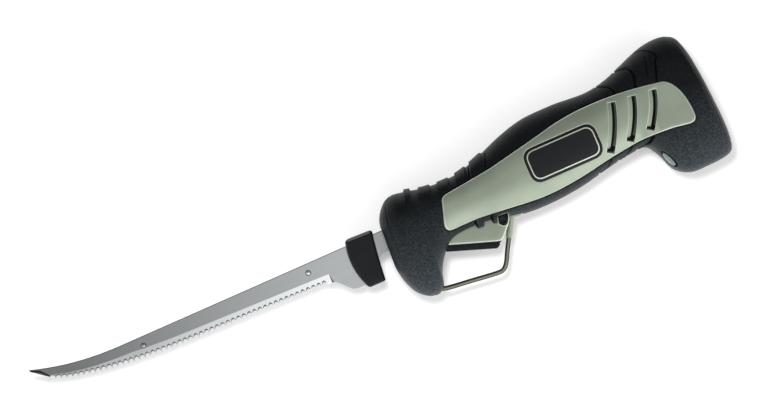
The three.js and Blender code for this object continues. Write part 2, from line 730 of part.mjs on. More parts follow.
// Single thread around the worm, drawn as a radius that rises and falls along each turn.
function worm() {
  const lead = Math.PI * gearModule;
  const perTurn = 5;
  const sides = 12;
  const count = Math.round(wormLength / lead * perTurn);
  const corners = [];
  const faces = [];
  for (let i = 0; i <= count; i += 1) {
    const along = wormLength * (i / count - 0.5);
    for (let k = 0; k < sides; k += 1) {
      const angle = 2 * Math.PI * k / sides;
      const phase = Math.cos(2 * Math.PI * along / lead - angle);
      const rise = 1.6 * gearModule * THREE.MathUtils.smoothstep(phase, 0.1, 1);
      const radius = wormRadius - 0.95 * gearModule + rise;
      corners.push(wheelX + along, motorY + radius * Math.cos(angle), radius * Math.sin(angle));
    }
  }
  const last = count * sides;
  for (let start = 0; start < last; start += sides) {
    for (let k = 0; k < sides; k += 1) {
      const next = (k + 1) % sides;
      faces.push(start + k, start + next, start + sides + k);
      faces.push(start + next, start + sides + next, start + sides + k);
    }
  }
  for (let k = 1; k < sides - 1; k += 1) faces.push(0, k + 1, k, last, last + k, last + k + 1);
  const geometry = new THREE.BufferGeometry();
  geometry.setAttribute("position", new THREE.Float32BufferAttribute(corners, 3));
  geometry.setIndex(faces);
  return solid(geometry).subtract(rod("x", [motorY, 0], shaftRadius + fit, wheelX - 40, wheelX + 40, 12));
}

const bridgeX = wheelX - 18.5;
const bushRadius = axleRadius + fit + bushWall;
const wormBushRadius = shaftRadius + fit + bushWall;

function gearFrame() {
  const back = motorPlateX + motorPlate;
  const side = rounded([
    [bridgeX, 8.6, 1], [bridgeX, 14.4, 2], [104, motorY + 7, 3], [back, motorY + 9, 0],
    [back, 0, 0], [104, -6.5, 4], [90, -6.5, 5],
  ]);
  const outer = cheekInner + cheekThickness;
  const parts = [
    prism(side, cheekInner, outer),
    prism(side, -outer, -cheekInner),
    rod("x", [motorY, 0], motorRadius, motorPlateX, back, 18),
    block(bridgeX, bridgeX + 3, 8.6, 13, -outer, outer),
    block(bridgeX, bridgeX + 3, 8.6, 17.6, -5, 5),
  ];
  let body = union(parts).subtract(rod("z", [wheelX, 0], bushRadius + fit, -30, 30, 12));
  body = body.subtract(rod("x", [motorY, 0], 5 + fit, motorPlateX - 1, back + 1, 18));
  return body.subtract(rod("x", [motorY, 0], wormBushRadius + fit, bridgeX - 1, bridgeX + 4, 12));
}

function ring(axis, at, inner, outer, from, to) {
  return rod(axis, at, outer, from, to, 12).subtract(rod(axis, at, inner, from - 1, to + 1, 12));
}

const motorEnd = motorX + motorLength;

function motorCan() {
  const bore = shaftRadius + fit;
  const inner = motorRadius - motorWall;
  const profile = [
    [motorPlateX + 0.4, bore], [motorPlateX + 0.4, 5], [motorX, 5], [motorX, motorRadius - 1],
    [motorX + 1, motorRadius], [motorEnd, motorRadius], [motorEnd, inner], [motorX + 2, inner],
    [motorX + 2, bore],
  ];
  return turnedX([...profile, profile[0]], motorY, 18);
}

function endBell() {
  const start = motorEnd + fit;
  const bore = shaftRadius + fit;
  const profile = [
    [start, bore], [start, motorRadius - 0.5], [start + 3.5, motorRadius - 0.8], [start + 3.5, 5],
    [start + 6, 5], [start + 6, bore],
  ];
  const tabs = [-tabOffset, tabOffset].map((dy) => {
    const y = motorY + dy;
    return block(start + 3, start + tabReach, y - 1.6, y + 1.6, -0.4, 0.4);
  });
  return union([turnedX([...profile, profile[0]], motorY, 16), ...tabs]);
}

function armature() {
  const bore = shaftRadius + fit;
  const radius = motorRadius - motorWall - 1.2;
  const profile = [
    [motorX + 5, bore], [motorX + 5, radius], [motorEnd - 8, radius], [motorEnd - 8, 5],
    [motorEnd - 1, 5], [motorEnd - 1, bore],
  ];
  return turnedX([...profile, profile[0]], motorY, 14);
}

function triggerBody() {
  const shape = rounded([
    [pivot.x - 3.6, pivot.y + 2, 2.5], [pivot.x + 2.6, pivot.y + 3.6, 3], [pivot.x + 5.4, -10.6, 1],
    [79, -12.2, 1.6], [79.3, -14.4, 1.5], [70.6, -28.4, 3.4], [...sole.back, 2], [...sole.front, 1.5],
    [36.9, -15.6, 1.5],
  ]);
  const frame = rounded([
    [71.7, -18.6, 1.2], [73.2, -13.2, 1], [80.6, -13.8, 1], [79.4, -17.6, 1], [77.4, -20.8, 1.4],
    [74.6, -21.4, 1.4],
  ]);
  const outer = triggerHalf + eyeFrame;
  const cheek = prism(frame, outer - eyeDepth, outer, 3);
  const body = softPrism(shape, -triggerHalf, triggerHalf, 0.8, 3).add(cheek).add(cheek.mirror([0, 0, 1]));
  const eye = rod("z", [pivot.x, pivot.y], pinRadius + fit, -20, 20);
  return body.subtract(eye).subtract(rod("z", [lock.x, lock.y], lockRadius + fit, -20, 20));
}

// Rubber strip under the trigger's sole.
function triggerPad() {
  const [front, back] = [new THREE.Vector2(...sole.front), new THREE.Vector2(...sole.back)];
  const run = back.clone().sub(front).normalize();
  const down = new THREE.Vector2(run.y, -run.x);
  const corner = (from, along, depth, radius) => {
    const point = from.clone().addScaledVector(run, along).addScaledVector(down, depth);
    return [point.x, point.y, radius];
  };
  const shape = rounded([
    corner(front, -0.6, fit, 0.6), corner(front, -0.4, fit + padThickness, 1),
    corner(back, 0.6, fit + padThickness, 1.4), corner(back, 2.4, fit, 0.8),
  ]);
  return softPrism(shape, -padHalf, padHalf, 0.5, 3);
}

function lockButton() {
  const face = triggerHalf + eyeFrame;
  return rod("z", [lock.x, lock.y], lockRadius, lockTravel - face, face, 18);
}

function triggerSpring() {
  const turns = 3;
  const radius = 2.1;
  const wire = 0.35;
  const low = -10.75 + fit + wire;
  const high = -6 - fit - wire;
  const points = [];
  for (let i = 0; i <= turns * 8; i += 1) {
    const angle = Math.PI * i / 4;
    const y = low + (high - low) * i / (turns * 8);
    points.push([52.5 + radius * Math.cos(angle), y, radius * Math.sin(angle)]);
  }
  return bent(points, wire, 3, turns * 8);
}

function switchBody() {
  const body = block(57.5, 70.5, -6.4, 2.6, barInner + barThickness + fit, 10);
  return body.subtract(rod("y", [switchX, plungerZ], plungerRadius + fit, -8, -1));
}

function switchPlunger() {
  return rod("y", [switchX, plungerZ], plungerRadius, plungerEnd, -4.8, 10);
}

function guardSocket() {
  const [from, to] = [new THREE.Vector3(74.6, -28.4, 0), new THREE.Vector3(82.4, -14.8, 0)];
  const way = to.clone().sub(from);
  const up = new THREE.Vector3(0, 1, 0);
  const sleeve = new THREE.CylinderGeometry(socketRadius, socketRadius * 0.8, way.length(), 14);
  sleeve.applyQuaternion(new THREE.Quaternion().setFromUnitVectors(up, way.normalize()));
  sleeve.translate((from.x + to.x) / 2, (from.y + to.y) / 2, 0);
  const base = rounded([[80.8, -13.6, 0.6], [80.8, -17.4, 0.6], [88, -18.6, 1.5], [88, -13.6, 0.6]]);
  const body = solid(sleeve).add(prism(base, -slotHalf + fit, slotHalf - fit, 3));
  return body.subtract(bent(guardPath, wireRadius + fit));
}

function barGuide() {
  const channel = block(0, 30, -spineHeight - fit, spineHeight + fit, -barInner - barThickness - fit,
    barInner + barThickness + fit);
  return block(sealBack + fit, tangReach + 2, -9.2, 9.2, -7.2, 7.2).subtract(channel);
}

function noseSeal() {
  const slit = block(0, 20, -spineHeight - fit, spineHeight + fit, -bladeOuter - fit, bladeOuter + fit);
  return block(6.6, sealBack, -9.2, 9.2, -7.2, 7.2).subtract(slit);
}

function batteryHolder() {
  const top = cellBottom + cellLength;
  const front = cellX - cellRadius - fit;
  const back = cellX + cellRadius;
  const depth = 2 * cellRadius + fit;
  const shape = new THREE.Shape([
    [front - 2, cellBottom - 3.5], [back, cellBottom - 3.5],
    [back, cellBottom - fit], [front, cellBottom - fit],
    [front, top + 1], [back, top + 1], [back, top + 3.5], [front - 2, top + 3.5],
  ].map(([x, y]) => new THREE.Vector2(x, y)));
  return prism(shape, 4 - depth, depth - 4);
}

function controlBoard() {
  const back = cellX - cellRadius - fit - 2 - fit;
  const face = back - boardThickness;
  return union([
    block(face, back, -10, 24, -13, 13),
    block(face - 1.5, face + 0.1, -4, 4, -5, 5),
    block(face - 2.4, face + 0.1, 10, 17, 3, 9),
    rod("x", [14, -6], 3, face - 6, face + 0.1, 12),
  ]);
}

function motorLead(dy, endY, endZ) {
  const start = motorEnd + fit + tabReach + fit;
  const end = cellX - cellRadius - 2 - 2 * fit - boardThickness - fit;
  const y = motorY + dy;
  return bent([[start, y, 0], [start + 2, y, 0], [end - 3, endY, endZ], [end, endY, endZ]], 0.8, 4, 10);
}

function screw(at) {
  const head = rod("z", at, screwHeadRadius, -screwHeadZ - screwHeadHeight, -screwHeadZ, 10);
  const drive = rod("z", at, 1.3, -screwHeadZ - screwHeadHeight - 1, -screwHeadZ - 1.2, 4);
  return head.subtract(drive).add(rod("z", at, screwRadius, -screwHeadZ - 0.5, screwHeadZ, 8));
}

const knife = new THREE.Group();
knife.name = "knife";

function add(name, body, look) {
  knife.add(meshOf(name, body, look));
}

function addPair(name, body, look) {
  add(`left_${name}`, body, look);
  addRight(name, body, look);
}

function addRight(name, body, look) {
  const mesh = meshOf(`right_${name}`, body, look);
  mesh.scale.z = -1;
  knife.add(mesh);
}

add("left_grip", gripHalf(false), rubber);
addRight("grip", gripHalf(true), rubber);
add("left_housing", housingHalf(false), abs);
addRight("housing", housingHalf(true), abs);
addPair("panel", panel(), sage);
addPair("badge", badge(), rubberSoft);
addPair("indicator_lens", lens(), lensTeal);

add("left_blade", blade(false), steel);
addRight("blade", blade(true), steel);
add("front_rivet", rivet(rivetXs[1]), darkSteel);
add("rear_rivet", rivet(rivetXs[0]), darkSteel);
addPair("collar", collar(), rubberSoft);
addPair("drive_bar", driveBar(), darkSteel);

add("nose_seal", noseSeal(), rubberSoft);
add("bar_guide", barGuide(), nylon);
add("gear_frame", gearFrame(), darkSteel);
add("worm_wheel", wormWheel(), nylon);
const cheekOuter = cheekInner + cheekThickness;
add("wheel_axle", rod("z", [wheelX, 0], axleRadius, -cheekOuter, cheekOuter, 14), steel);
addPair("axle_bush", ring("z", [wheelX, 0], axleRadius + fit, bushRadius, cheekInner, cheekOuter), brass);
add("worm_bush", ring("x", [motorY, 0], shaftRadius + fit, wormBushRadius, bridgeX, bridgeX + 3), brass);
add("worm", worm(), brass);
add("motor_shaft", rod("x", [motorY, 0], shaftRadius, bridgeX + 0.5, motorEnd + 5, 12), steel);
add("motor_can", motorCan(), darkSteel);
add("armature", armature(), copper);
add("motor_end_bell", endBell(), blackWire);

add("trigger", triggerBody(), sage);
add("trigger_pad", triggerPad(), rubberSoft);
add("lock_button", lockButton(), rubberSoft);
add("trigger_pin", rod("z", [pivot.x, pivot.y], pinRadius, -pinHalf, pinHalf, 14), steel);
add("trigger_spring", triggerSpring(), steel);
add("guard_wire", bent(guardPath, wireRadius, 4, 22), nickel);
add("guard_socket", guardSocket(), sage);
add("switch_body", switchBody(), blackWire);
add("switch_plunger", switchPlunger(), nylon);

add("battery_holder", batteryHolder(), abs);
const cellZ = cellRadius + 0.2;
addPair("cell", rod("y", [cellX, cellZ], cellRadius, cellBottom, cellBottom + cellLength, 20), cellWrap);
const strapY = cellBottom + cellLength + fit;
add("cell_strap", block(cellX - 4, cellX + 4, strapY, strapY + 0.4, -cellZ - 4, cellZ + 4), nickel);
add("control_board", controlBoard(), board);
add("red_motor_lead", motorLead(tabOffset, 21.5, 0), redWire);
add("black_motor_lead", motorLead(-tabOffset, 6.5, -9), blackWire);
bossSpots.forEach((at, i) => add(`case_screw_${i + 1}`, screw(at), darkSteel));

// Origin under the middle of the knife, lowest point on Z = 0.
const bounds = new THREE.Box3().setFromObject(knife);
const centre = bounds.getCenter(new THREE.Vector3());
knife.position.set(-centre.x, -centre.y, -bounds.min.z);

const part = new THREE.Group();
part.name = "electric_fillet_knife";
part.add(knife);

export default part;
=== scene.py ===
import json
import math

import bmesh
import bpy
import numpy as np
from mathutils import Matrix, Vector
from mathutils.geometry import delaunay_2d_cdt
from mathutils.kdtree import KDTree


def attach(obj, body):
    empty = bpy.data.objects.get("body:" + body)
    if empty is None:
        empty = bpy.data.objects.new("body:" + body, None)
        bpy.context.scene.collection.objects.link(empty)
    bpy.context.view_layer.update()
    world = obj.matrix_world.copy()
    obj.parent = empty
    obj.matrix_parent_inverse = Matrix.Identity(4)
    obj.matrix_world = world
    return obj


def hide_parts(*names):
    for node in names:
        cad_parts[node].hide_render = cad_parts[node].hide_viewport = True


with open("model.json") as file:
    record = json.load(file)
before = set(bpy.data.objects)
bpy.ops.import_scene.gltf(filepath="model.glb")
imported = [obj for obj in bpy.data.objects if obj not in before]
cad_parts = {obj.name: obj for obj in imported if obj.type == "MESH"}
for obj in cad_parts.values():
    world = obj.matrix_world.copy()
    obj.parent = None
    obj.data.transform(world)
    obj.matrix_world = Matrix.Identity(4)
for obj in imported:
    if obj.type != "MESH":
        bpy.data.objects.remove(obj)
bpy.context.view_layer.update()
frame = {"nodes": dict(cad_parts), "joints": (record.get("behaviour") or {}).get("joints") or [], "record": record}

# Drawing frame in millimetres, as the solids use it: X from blade tip to pommel, Y towards the spine,
# Z out of the left side, with the blades sliding along Y = 0.
MM = 0.001
SQUARE = [(-1, -1), (1, -1), (1, 1), (-1, 1)]  # corners in turn
WHEEL_X = 96.0
wheel_joint = next(joint for joint in frame["joints"] if joint["name"] == "wheel_spin")
ORIGIN = np.array(wheel_joint["pos_m"]) - np.array([WHEEL_X, 0.0, 0.0]) * MM

# Handle
FLAT_HALF = 24.0  # half width across the nose and pommel flats
FLAT_SOFT = 0.45
SEAM_HALF = 0.3
# Ribs over the spine: front, back, height
RIBS = [(28.0, 31.6, 1.6), (36.4, 43.6, 1.2), (48.2, 55.6, 1.0), (60.2, 67.4, 1.2), (71.0, 79.4, 1.3)]
RIB_LEAN = 0.33
RIB_RAMP = 0.55
RIB_FADE = (8.0, 3.0)  # below the spine: where a rib begins and where it is full
# Front edges and widths of the tabs over the trigger
TABS = [((60.3, -10.6), (57.7, -16.0), 5.4), ((70.6, -10.9), (67.4, -17.4), 3.7)]
TAB_HEIGHT = 2.7
SLOT_HALF = 7.3
SLOT_SPAN = (37.2, 88.4)
FLANK_WIDER = 1.4  # added to the slot's half width over the trigger's flank
FLANK_SPAN = (52.0, 74.0)
NOTCH = (72.4, 81.0, -13.6)  # opening beside the lock button: front, back, top
CENTRE_REACH = 9.0  # a groove crosses the mid-plane squarely for this far on either side
WELLS = [(17.0, -31.0), (168.0, 30.0), (191.0, -30.5), (207.0, 38.0)]
WELL_RADIUS = 3.3
WELL_DEPTH = 11.0
GIRTH = 26.0  # millimetres of skin for each radian around the handle
SKIN_GRID = (0.8, 1.2)  # between its corners, along and around
GROOVE_FLOOR = 0.55  # share of a groove's width
# Rolled rim of an edge: across it, down from the skin
EDGE = [(0, 0), (0.14, 0.03), (0.26, 0.13), (0.33, 0.3), (0.34, 1.9)]
EDGE_REACH = 0.34

# Indicator lens: its middle, half its length and width, and where it faces and runs
LENS_AT = np.array([180.6, -23.8, 14.6])
LENS_SIZE = (6.3, 4.2)
LENS_FACE = np.array([-0.8, -0.38, 0.46])
LENS_DOWN = np.array([0.434, -0.9, 0.0])

# Panels
PANEL_PROUD = 0.4
PANEL_GAP = 0.5
PANEL_ROUNDING = 0.9
PANEL_GRID = (1.3, 1.3)
LOUVRES = 3
LOUVRE_WIDTH = 5.4
LOUVRE_FLOOR = 2.1  # the housing lies 2.4 below the panel
BADGE = (124.0, 5.0, 46.0, 21.0, 7.0)  # x, y, length, height, corner radius
BADGE_PROUD = 0.6

# Blades
TIP_X = -221.0
TIP_Y = 15.2
SPINE = 6.5
COLLAR_FRONT = -18.0
COLLAR_BACK = 1.0
COLLAR_HALF = 7.0
TANG_END = 20.0
EDGE_AT_HEEL = -10.1
EDGE_SLOPE = 0.027
EDGE_BEND = TIP_X + 111  # where the edge starts to sweep up
HEEL_DEPTH = 19.6
BLADE_INNER = 0.15
BLADE_OUTER = 1.25
TOOTH_PITCH = 3.5
TOOTH_DEPTH = 2.1
BEVEL = 5.5
SPINE_EDGE = 0.4  # taken off along the spine
RIVETS = {"front_rivet": -152.0, "rear_rivet": -44.0}
RIVET_Y = 0.9
RIVET_SLOT = 1.4  # half the width of the rivets' slots
RIVET_SLOT_REACH = (1.5, 9.4)  # half their length, in the left and right blade
GRIND_HEIGHT = 0.55  # of the edge's second grinding, at the tips of the teeth

# Trigger and guard
TRIGGER_HALF = 6.3
PAD_HALF = 5.6
LOCK = (75.6, -17.2)
LOCK_RADIUS = 2.6
LOCK_FACE = 6.9  # level of its face and of its frame
LOCK_TRAVEL = 2.5
WIRE_RADIUS = 1.45
WIRE_SIDES = 24

# Photograph: turn of the knife, width covered and the point in the middle
TURN = math.radians(23.81)
VIEW_WIDTH = 456.0
VIEW_MIDDLE = (11.2, 19.4)
FOCAL_LENGTH = 200.0
FLOOR_WHITE = 0.2  # plain white added to the lit floor where it is seen
FLOOR_HALF = 6.0  # metres
FLOOR_LEVEL = -0.0001  # clear of the flats that rest on it
SKY_STRENGTH = 1.1


def unit(vectors):
    return vectors / np.maximum(np.linalg.norm(vectors, axis=-1, keepdims=True), 1e-12)


def smooth(value, low, high):
    share = np.clip((value - low) / (high - low), 0.0, 1.0)
    return share * share * (3.0 - 2.0 * share)


def band(value, low, high, soft):
    edge = soft / 2
    return smooth(value, low - edge, low + edge) * (1 - smooth(value, high - edge, high + edge))


def hermite(knots, values, at):
    """Smooth curve through the values at the knots."""
    steps = np.diff(knots)
    slopes = np.diff(values, axis=0) / steps[:, None]
    middle = slopes[:-1] * steps[1:, None] + slopes[1:] * steps[:-1, None]
    tangents = np.vstack([slopes[:1], middle / (steps[1:] + steps[:-1])[:, None], slopes[-1:]])
    k = np.clip(np.searchsorted(knots, at) - 1, 0, len(steps) - 1)
    span = steps[k][:, None]
    t = ((at - knots[k]) / steps[k])[:, None]
    a = (1 + 2 * t) * (1 - t) ** 2
    b = t * (1 - t) ** 2
    c = t * t * (3 - 2 * t)
    d = t * t * (t - 1)
    return a * values[k] + b * span * tangents[k] + c * values[k + 1] + d * span * tangents[k + 1]


def bezier(*controls, count=12):
    """Points of a curve after its first control point."""
    made = []
    for t in np.linspace(0, 1, count + 1)[1:]:
        level = np.array(controls, float)
        while len(level) > 1:
            level = level[:-1] * (1 - t) + level[1:] * t
        made.append(level[0])
    return np.array(made)


def spline(*points, count=8):
    """Points of a smooth run through the given ones, after the first."""
    through = np.array(points, float)
    padded = np.vstack([through[:1], through, through[-1:]])
    made = []
    for k in range(len(through) - 1):
        a, b, c, d = padded[k:k + 4]
        for t in np.linspace(0, 1, count + 1)[1:]:
            m, n = (c - a) / 2, (d - b) / 2
            cubic, square = 2 * b - 2 * c + m + n, 3 * c - 3 * b - 2 * m - n
            made.append(cubic * t ** 3 + square * t * t + m * t + b)
    return np.array(made)


def rounded(*corners, count=5):
    """Closed outline whose corners (x, y, radius) are rounded."""
    made = []
    for k, (x, y, radius) in enumerate(corners):
        corner = np.array([x, y])
        ends = []
        for other in (corners[k - 1], corners[(k + 1) % len(corners)]):
            way = np.array(other[:2]) - corner
            length = np.linalg.norm(way)
            ends.append(corner + way / length * min(radius, length / 2))
        made.append(ends[0][None])
        if radius:
            made.append(bezier(ends[0], corner, ends[1], count=count))
    return np.vstack(made)


def rounded_box(x, y, w, h, radius, count=5):
    """Rounded rectangle about (x, y), w and h being half its sides."""
    return rounded(*[(x + a * w, y + b * h, radius) for a, b in SQUARE], count=count)


def lengths_to(line):
    """Length of the line up to each of its points."""
    return np.concatenate([[0], np.cumsum(np.linalg.norm(np.diff(line, axis=0), axis=1))])


def at_lengths(line, at):
    lengths = lengths_to(line)
    return np.stack([np.interp(at, lengths, line[:, k]) for k in range(2)], 1)


def evened(loop, step, closed=True):
    """The same line with evenly spaced points."""
    line = np.vstack([loop, loop[:1]]) if closed else np.asarray(loop, float)
    length = lengths_to(line)[-1]
    count = max(int(round(length / step)), 3)
    made = at_lengths(line, np.linspace(0, length, count + 1))
    return made[:-1] if closed else made


def left_of(line):
    """Directions square to a line, on its left."""
    run = unit(np.gradient(line, axis=0))
    return np.stack([-run[:, 1], run[:, 0]], 1)


def circle(count):
    angles = np.linspace(0, 2 * math.pi, count, endpoint=False)
    return np.stack([np.cos(angles), np.sin(angles)], 1)


def at_level(flat, z):
    return np.column_stack([flat, np.full(len(flat), z)])


def wound(loop, sign):
    """The loop counter-clockwise for sign 1, clockwise for sign -1."""
    x, y = loop.T
    turning = np.sum(x * np.roll(y, -1) - np.roll(x, -1) * y)
    return loop if turning * sign > 0 else loop[::-1]


def moved_out(loop, distance):
    before, after = np.roll(loop, 1, 0), np.roll(loop, -1, 0)
    first, second = unit(loop - before), unit(after - loop)
    normals = unit(np.stack([first[:, 1] + second[:, 1], -first[:, 0] - second[:, 0]], 1))
    mitre = np.maximum(normals[:, 0] * first[:, 1] - normals[:, 1] * first[:, 0], 0.5)
    return loop + normals * (distance / mitre)[:, None]


def inside(points, loop):
    """Which points lie in the loop."""
    x0, y0 = loop[:, 0], loop[:, 1]
    x1, y1 = np.roll(x0, -1), np.roll(y0, -1)
    rise = np.where(y1 == y0, 1e-12, y1 - y0)
    found = np.zeros(len(points), bool)
    for start in range(0, len(points), 4000):
        x, y = points[start:start + 4000, :1], points[start:start + 4000, 1:]
        crossing = ((y0 > y) != (y1 > y)) & (x < (x1 - x0) * (y - y0) / rise + x0)
        found[start:start + 4000] = crossing.sum(1) % 2 == 1
    return found


def filled(outer, holes, spacing, lines=()):
    """Points and triangles of a flat region with holes; a grid lies between its edges and lines."""
    loops = [outer, *holes]
    rims = np.vstack(loops)

    def within(points):
        keep = inside(points, outer)
        for hole in holes:
            keep &= ~inside(points, hole)
        return keep

    def clear_of(others, points, gap, scale):
        tree = KDTree(len(others))
        for k, (x, y) in enumerate(others / scale):
            tree.insert((x, y, 0), k)
        tree.balance()
        return np.array([tree.find((x, y, 0))[2] > gap for x, y in points / scale], bool)

    corners = [rims]
    edges = []
    start = 0
    for loop in loops:
        count = len(loop)
        edges += [(start + k, start + (k + 1) % count) for k in range(count)]
        start += count
    for line in lines:
        keep = within(line) & clear_of(rims, line, 0.4, 1.0)
        index = np.cumsum(keep) - 1 + start
        edges += [(index[k], index[k + 1]) for k in range(len(line) - 1) if keep[k] and keep[k + 1]]
        corners.append(line[keep])
        start += int(keep.sum())
    fixed = np.vstack(corners)
    if spacing:
        low, high = outer.min(0), outer.max(0)
        axes = [np.arange(low[k] + spacing[k] / 2, high[k], spacing[k]) for k in range(2)]
        grid = np.stack(np.meshgrid(*axes, indexing="ij"), -1).reshape(-1, 2)
        grid = grid[within(grid)]
        fixed = np.vstack([fixed, grid[clear_of(fixed, grid, 0.6, spacing)]])
    made = delaunay_2d_cdt([Vector(corner) for corner in fixed], edges, [], 0, 1e-7)
    points = np.array([tuple(point) for point in made[0]])
    triangles = np.array([face for face in made[2] if len(face) == 3])
    corners = points[triangles]
    first, second = corners[:, 1] - corners[:, 0], corners[:, 2] - corners[:, 0]
    broad = np.abs(first[:, 0] * second[:, 1] - first[:, 1] * second[:, 0]) > 1e-4
    return points, triangles[broad & within(corners.mean(1))]


class Shape:
    """Corners in drawing millimetres and faces, gathered before they become a piece."""

    def __init__(self):
        self.points = []
        self.faces = []
        self.finishes = []  # which of the piece's materials each face shows
        self.count = 0

    def add(self, points, faces, finish=0):
        self.points.append(np.asarray(points, float))
        self.faces += [tuple(int(k) + self.count for k in face) for face in faces]
        self.finishes += [finish] * len(faces) if isinstance(finish, int) else list(finish)
        self.count += len(points)

    def rings(self, rings, closed=True, caps=(), finish=0):
        """Skin between rings of equally many points; caps are the rings closed by one face."""
        count = len(rings[0])
        faces = []
        for start in range(0, (len(rings) - 1) * count, count):
            for k in range(count if closed else count - 1):
                a, b = start + k, start + (k + 1) % count
                faces.append((a, b, b + count, a + count))
        if 0 in caps:
            faces.append(tuple(range(count))[::-1])
        if -1 in caps:
            faces.append(tuple(range((len(rings) - 1) * count, len(rings) * count)))
        self.add(np.vstack(rings), faces, finish)

    def mirrored(self):
        other = Shape()
        faces = [face[::-1] for face in self.faces]
        other.add(np.vstack(self.points) * (1, 1, -1), faces, self.finishes)
        return other


# Handle sections from the nose opening to the pommel:
# top x, top y, bottom x, bottom y, half width, squareness
SECTIONS = np.array([
    [7.6, 9.3, 7.2, -9.5, 7.4, 7.0],
    [6.9, 9.9, 5.4, -13.2, 10.4, 4.0],
    [7.2, 11.2, 5.2, -16.6, 13.4, 3.0],
    [8.6, 14.5, 5.9, -23.0, 16.5, 3.0],
    [11.5, 18.5, 8.2, -31.0, 20.0, 3.0],
    [15.5, 22.0, 12.0, -37.3, 23.0, 3.0],
    [20.0, 23.4, 17.5, -41.4, 25.6, 3.0],
    [26.0, 22.6, 23.5, -42.2, 25.8, 3.0],
    [31.0, 21.6, 27.3, -39.0, 24.6, 3.0],
    [35.0, 20.6, 30.0, -31.0, 22.3, 2.9],
    [40.0, 19.6, 34.5, -23.5, 20.4, 2.8],
    [47.0, 18.9, 42.0, -16.3, 18.9, 2.7],
    [60.0, 19.2, 58.0, -14.2, 18.4, 2.6],
    [78.0, 24.0, 78.0, -16.8, 19.7, 2.6],
    [92.0, 29.2, 90.0, -19.1, 20.6, 2.6],
    [108.0, 33.4, 105.0, -19.8, 21.2, 2.6],
    [128.0, 34.2, 124.0, -18.5, 21.0, 2.6],
    [155.0, 33.0, 149.0, -13.8, 20.2, 2.6],
    [166.0, 35.2, 161.0, -12.0, 20.3, 2.7],
    [176.0, 38.8, 171.5, -12.0, 21.2, 2.8],
    [186.0, 42.5, 177.0, -19.5, 22.8, 3.0],
    [195.0, 44.9, 182.0, -31.0, 25.0, 3.2],
    [203.0, 45.4, 190.0, -36.4, 26.0, 3.3],
    [209.5, 43.8, 203.0, -37.0, 26.0, 3.3],
    [213.8, 40.2, 213.0, -36.2, 25.0, 3.2],
    [216.5, 32.0, 217.5, -34.3, 21.6, 3.0],
    [218.0, 22.0, 219.6, -29.0, 17.5, 3.0],
    [218.9, 12.5, 220.4, -20.0, 12.0, 2.8],
    [219.4, 4.0, 220.6, -10.0, 6.0, 2.4],
    [220.1, -2.9, 220.3, -3.5, 0.3, 2.0],
])
TOP_RUN = np.linalg.norm(np.diff(SECTIONS[:, 0:2], axis=0), axis=1)
BOTTOM_RUN = np.linalg.norm(np.diff(SECTIONS[:, 2:4], axis=0), axis=1)
KNOTS = np.concatenate([[0], np.cumsum((TOP_RUN + BOTTOM_RUN) / 2)])
SCAN = np.linspace(0, KNOTS[-1], 3000)
SCAN_SECTIONS = hermite(KNOTS, SECTIONS, SCAN)
BELLY_ORDER = np.argsort(SCAN_SECTIONS[:, 2])


def on_belly(x):
    """How far along the handle its belly is at x."""
    return np.interp(x, SCAN_SECTIONS[BELLY_ORDER, 2], SCAN[BELLY_ORDER])


def flattened(along, around):
    """The skin laid out flat."""
    return np.stack([along, around * GIRTH], 1)


def handle_point(along, around):
    """Point of the left handle skin. `around` runs from 0 on the spine to pi on the belly."""
    top_x, top_y, low_x, low_y, half, square = hermite(KNOTS, SECTIONS, along).T
    c, s = np.cos(around), np.sin(around)
    reach = (np.abs(c) ** square + np.abs(s) ** square) ** (-1 / square)
    up, side = reach * c, reach * s
    z = FLAT_HALF - FLAT_SOFT * np.logaddexp(0, (FLAT_HALF - half * side) / FLAT_SOFT)
    x = (top_x + low_x) / 2 + (top_x - low_x) / 2 * up
    y = (top_y + low_y) / 2 + (top_y - low_y) / 2 * up
    return np.stack([x, y, z], 1)


def handle_normal(along, around):
    step = 0.02
    low, high = np.maximum(along - step, 0), np.minimum(along + step, KNOTS[-1])
    run = handle_point(high, around) - handle_point(low, around)
    turn = handle_point(along, around + step) - handle_point(along, around - step)
    return unit(np.cross(turn, run))


def on_side(xy):
    """(along, around) of the skin under points of the side view."""
    top, low = SCAN_SECTIONS[:, 0:2], SCAN_SECTIONS[:, 2:4]
    down = low - top
    along, around = [], []
    for point in np.atleast_2d(xy):
        off = down[:, 0] * (point[1] - top[:, 1]) - down[:, 1] * (point[0] - top[:, 0])
        crossings = np.nonzero(np.diff(np.sign(off)))[0]
        heights = 1 - 2 * np.einsum("ij,ij->i", point - top, down) / np.einsum("ij,ij->i", down, down)
        best = min(crossings, key=lambda k: abs(heights[k]))
        share = off[best] / (off[best] - off[best + 1])
        along.append(SCAN[best] + share * (SCAN[best + 1] - SCAN[best]))
        up = np.clip(heights[best] + share * (heights[best + 1] - heights[best]), -1, 1)
        square = SCAN_SECTIONS[best, 5]
        around.append(math.atan2((1 - abs(up) ** square) ** (1 / square), up))
    return np.array(along), np.array(around)


def line_distance(points, line):
    """Distance of points from a run of straight pieces."""
    best = np.full(len(points), 1e9)
    for a, b in zip(line[:-1], line[1:]):
        way = b - a
        share = np.clip(((points - a) @ way) / (way @ way), 0, 1)
        best = np.minimum(best, np.linalg.norm(points - a - share[:, None] * way, axis=1))
    return best


def over_skin(*side_view, spine=None, belly=None):
    """Smooth run over the flat skin through points of the side view, on to the spine or belly."""
    run = flattened(*on_side(side_view))
    if spine is not None:
        start = np.interp(spine, SCAN_SECTIONS[60:, 0], SCAN[60:])
        run = np.vstack([[(start, 0), (start, CENTRE_REACH)], run])
    if belly is not None:
        end = on_belly(belly)
        run = np.vstack([run, [(end, math.pi * GIRTH - CENTRE_REACH), (end, math.pi * GIRTH)]])
    return evened(np.vstack([run[:1], spline(*run)]), 0.6, closed=False)


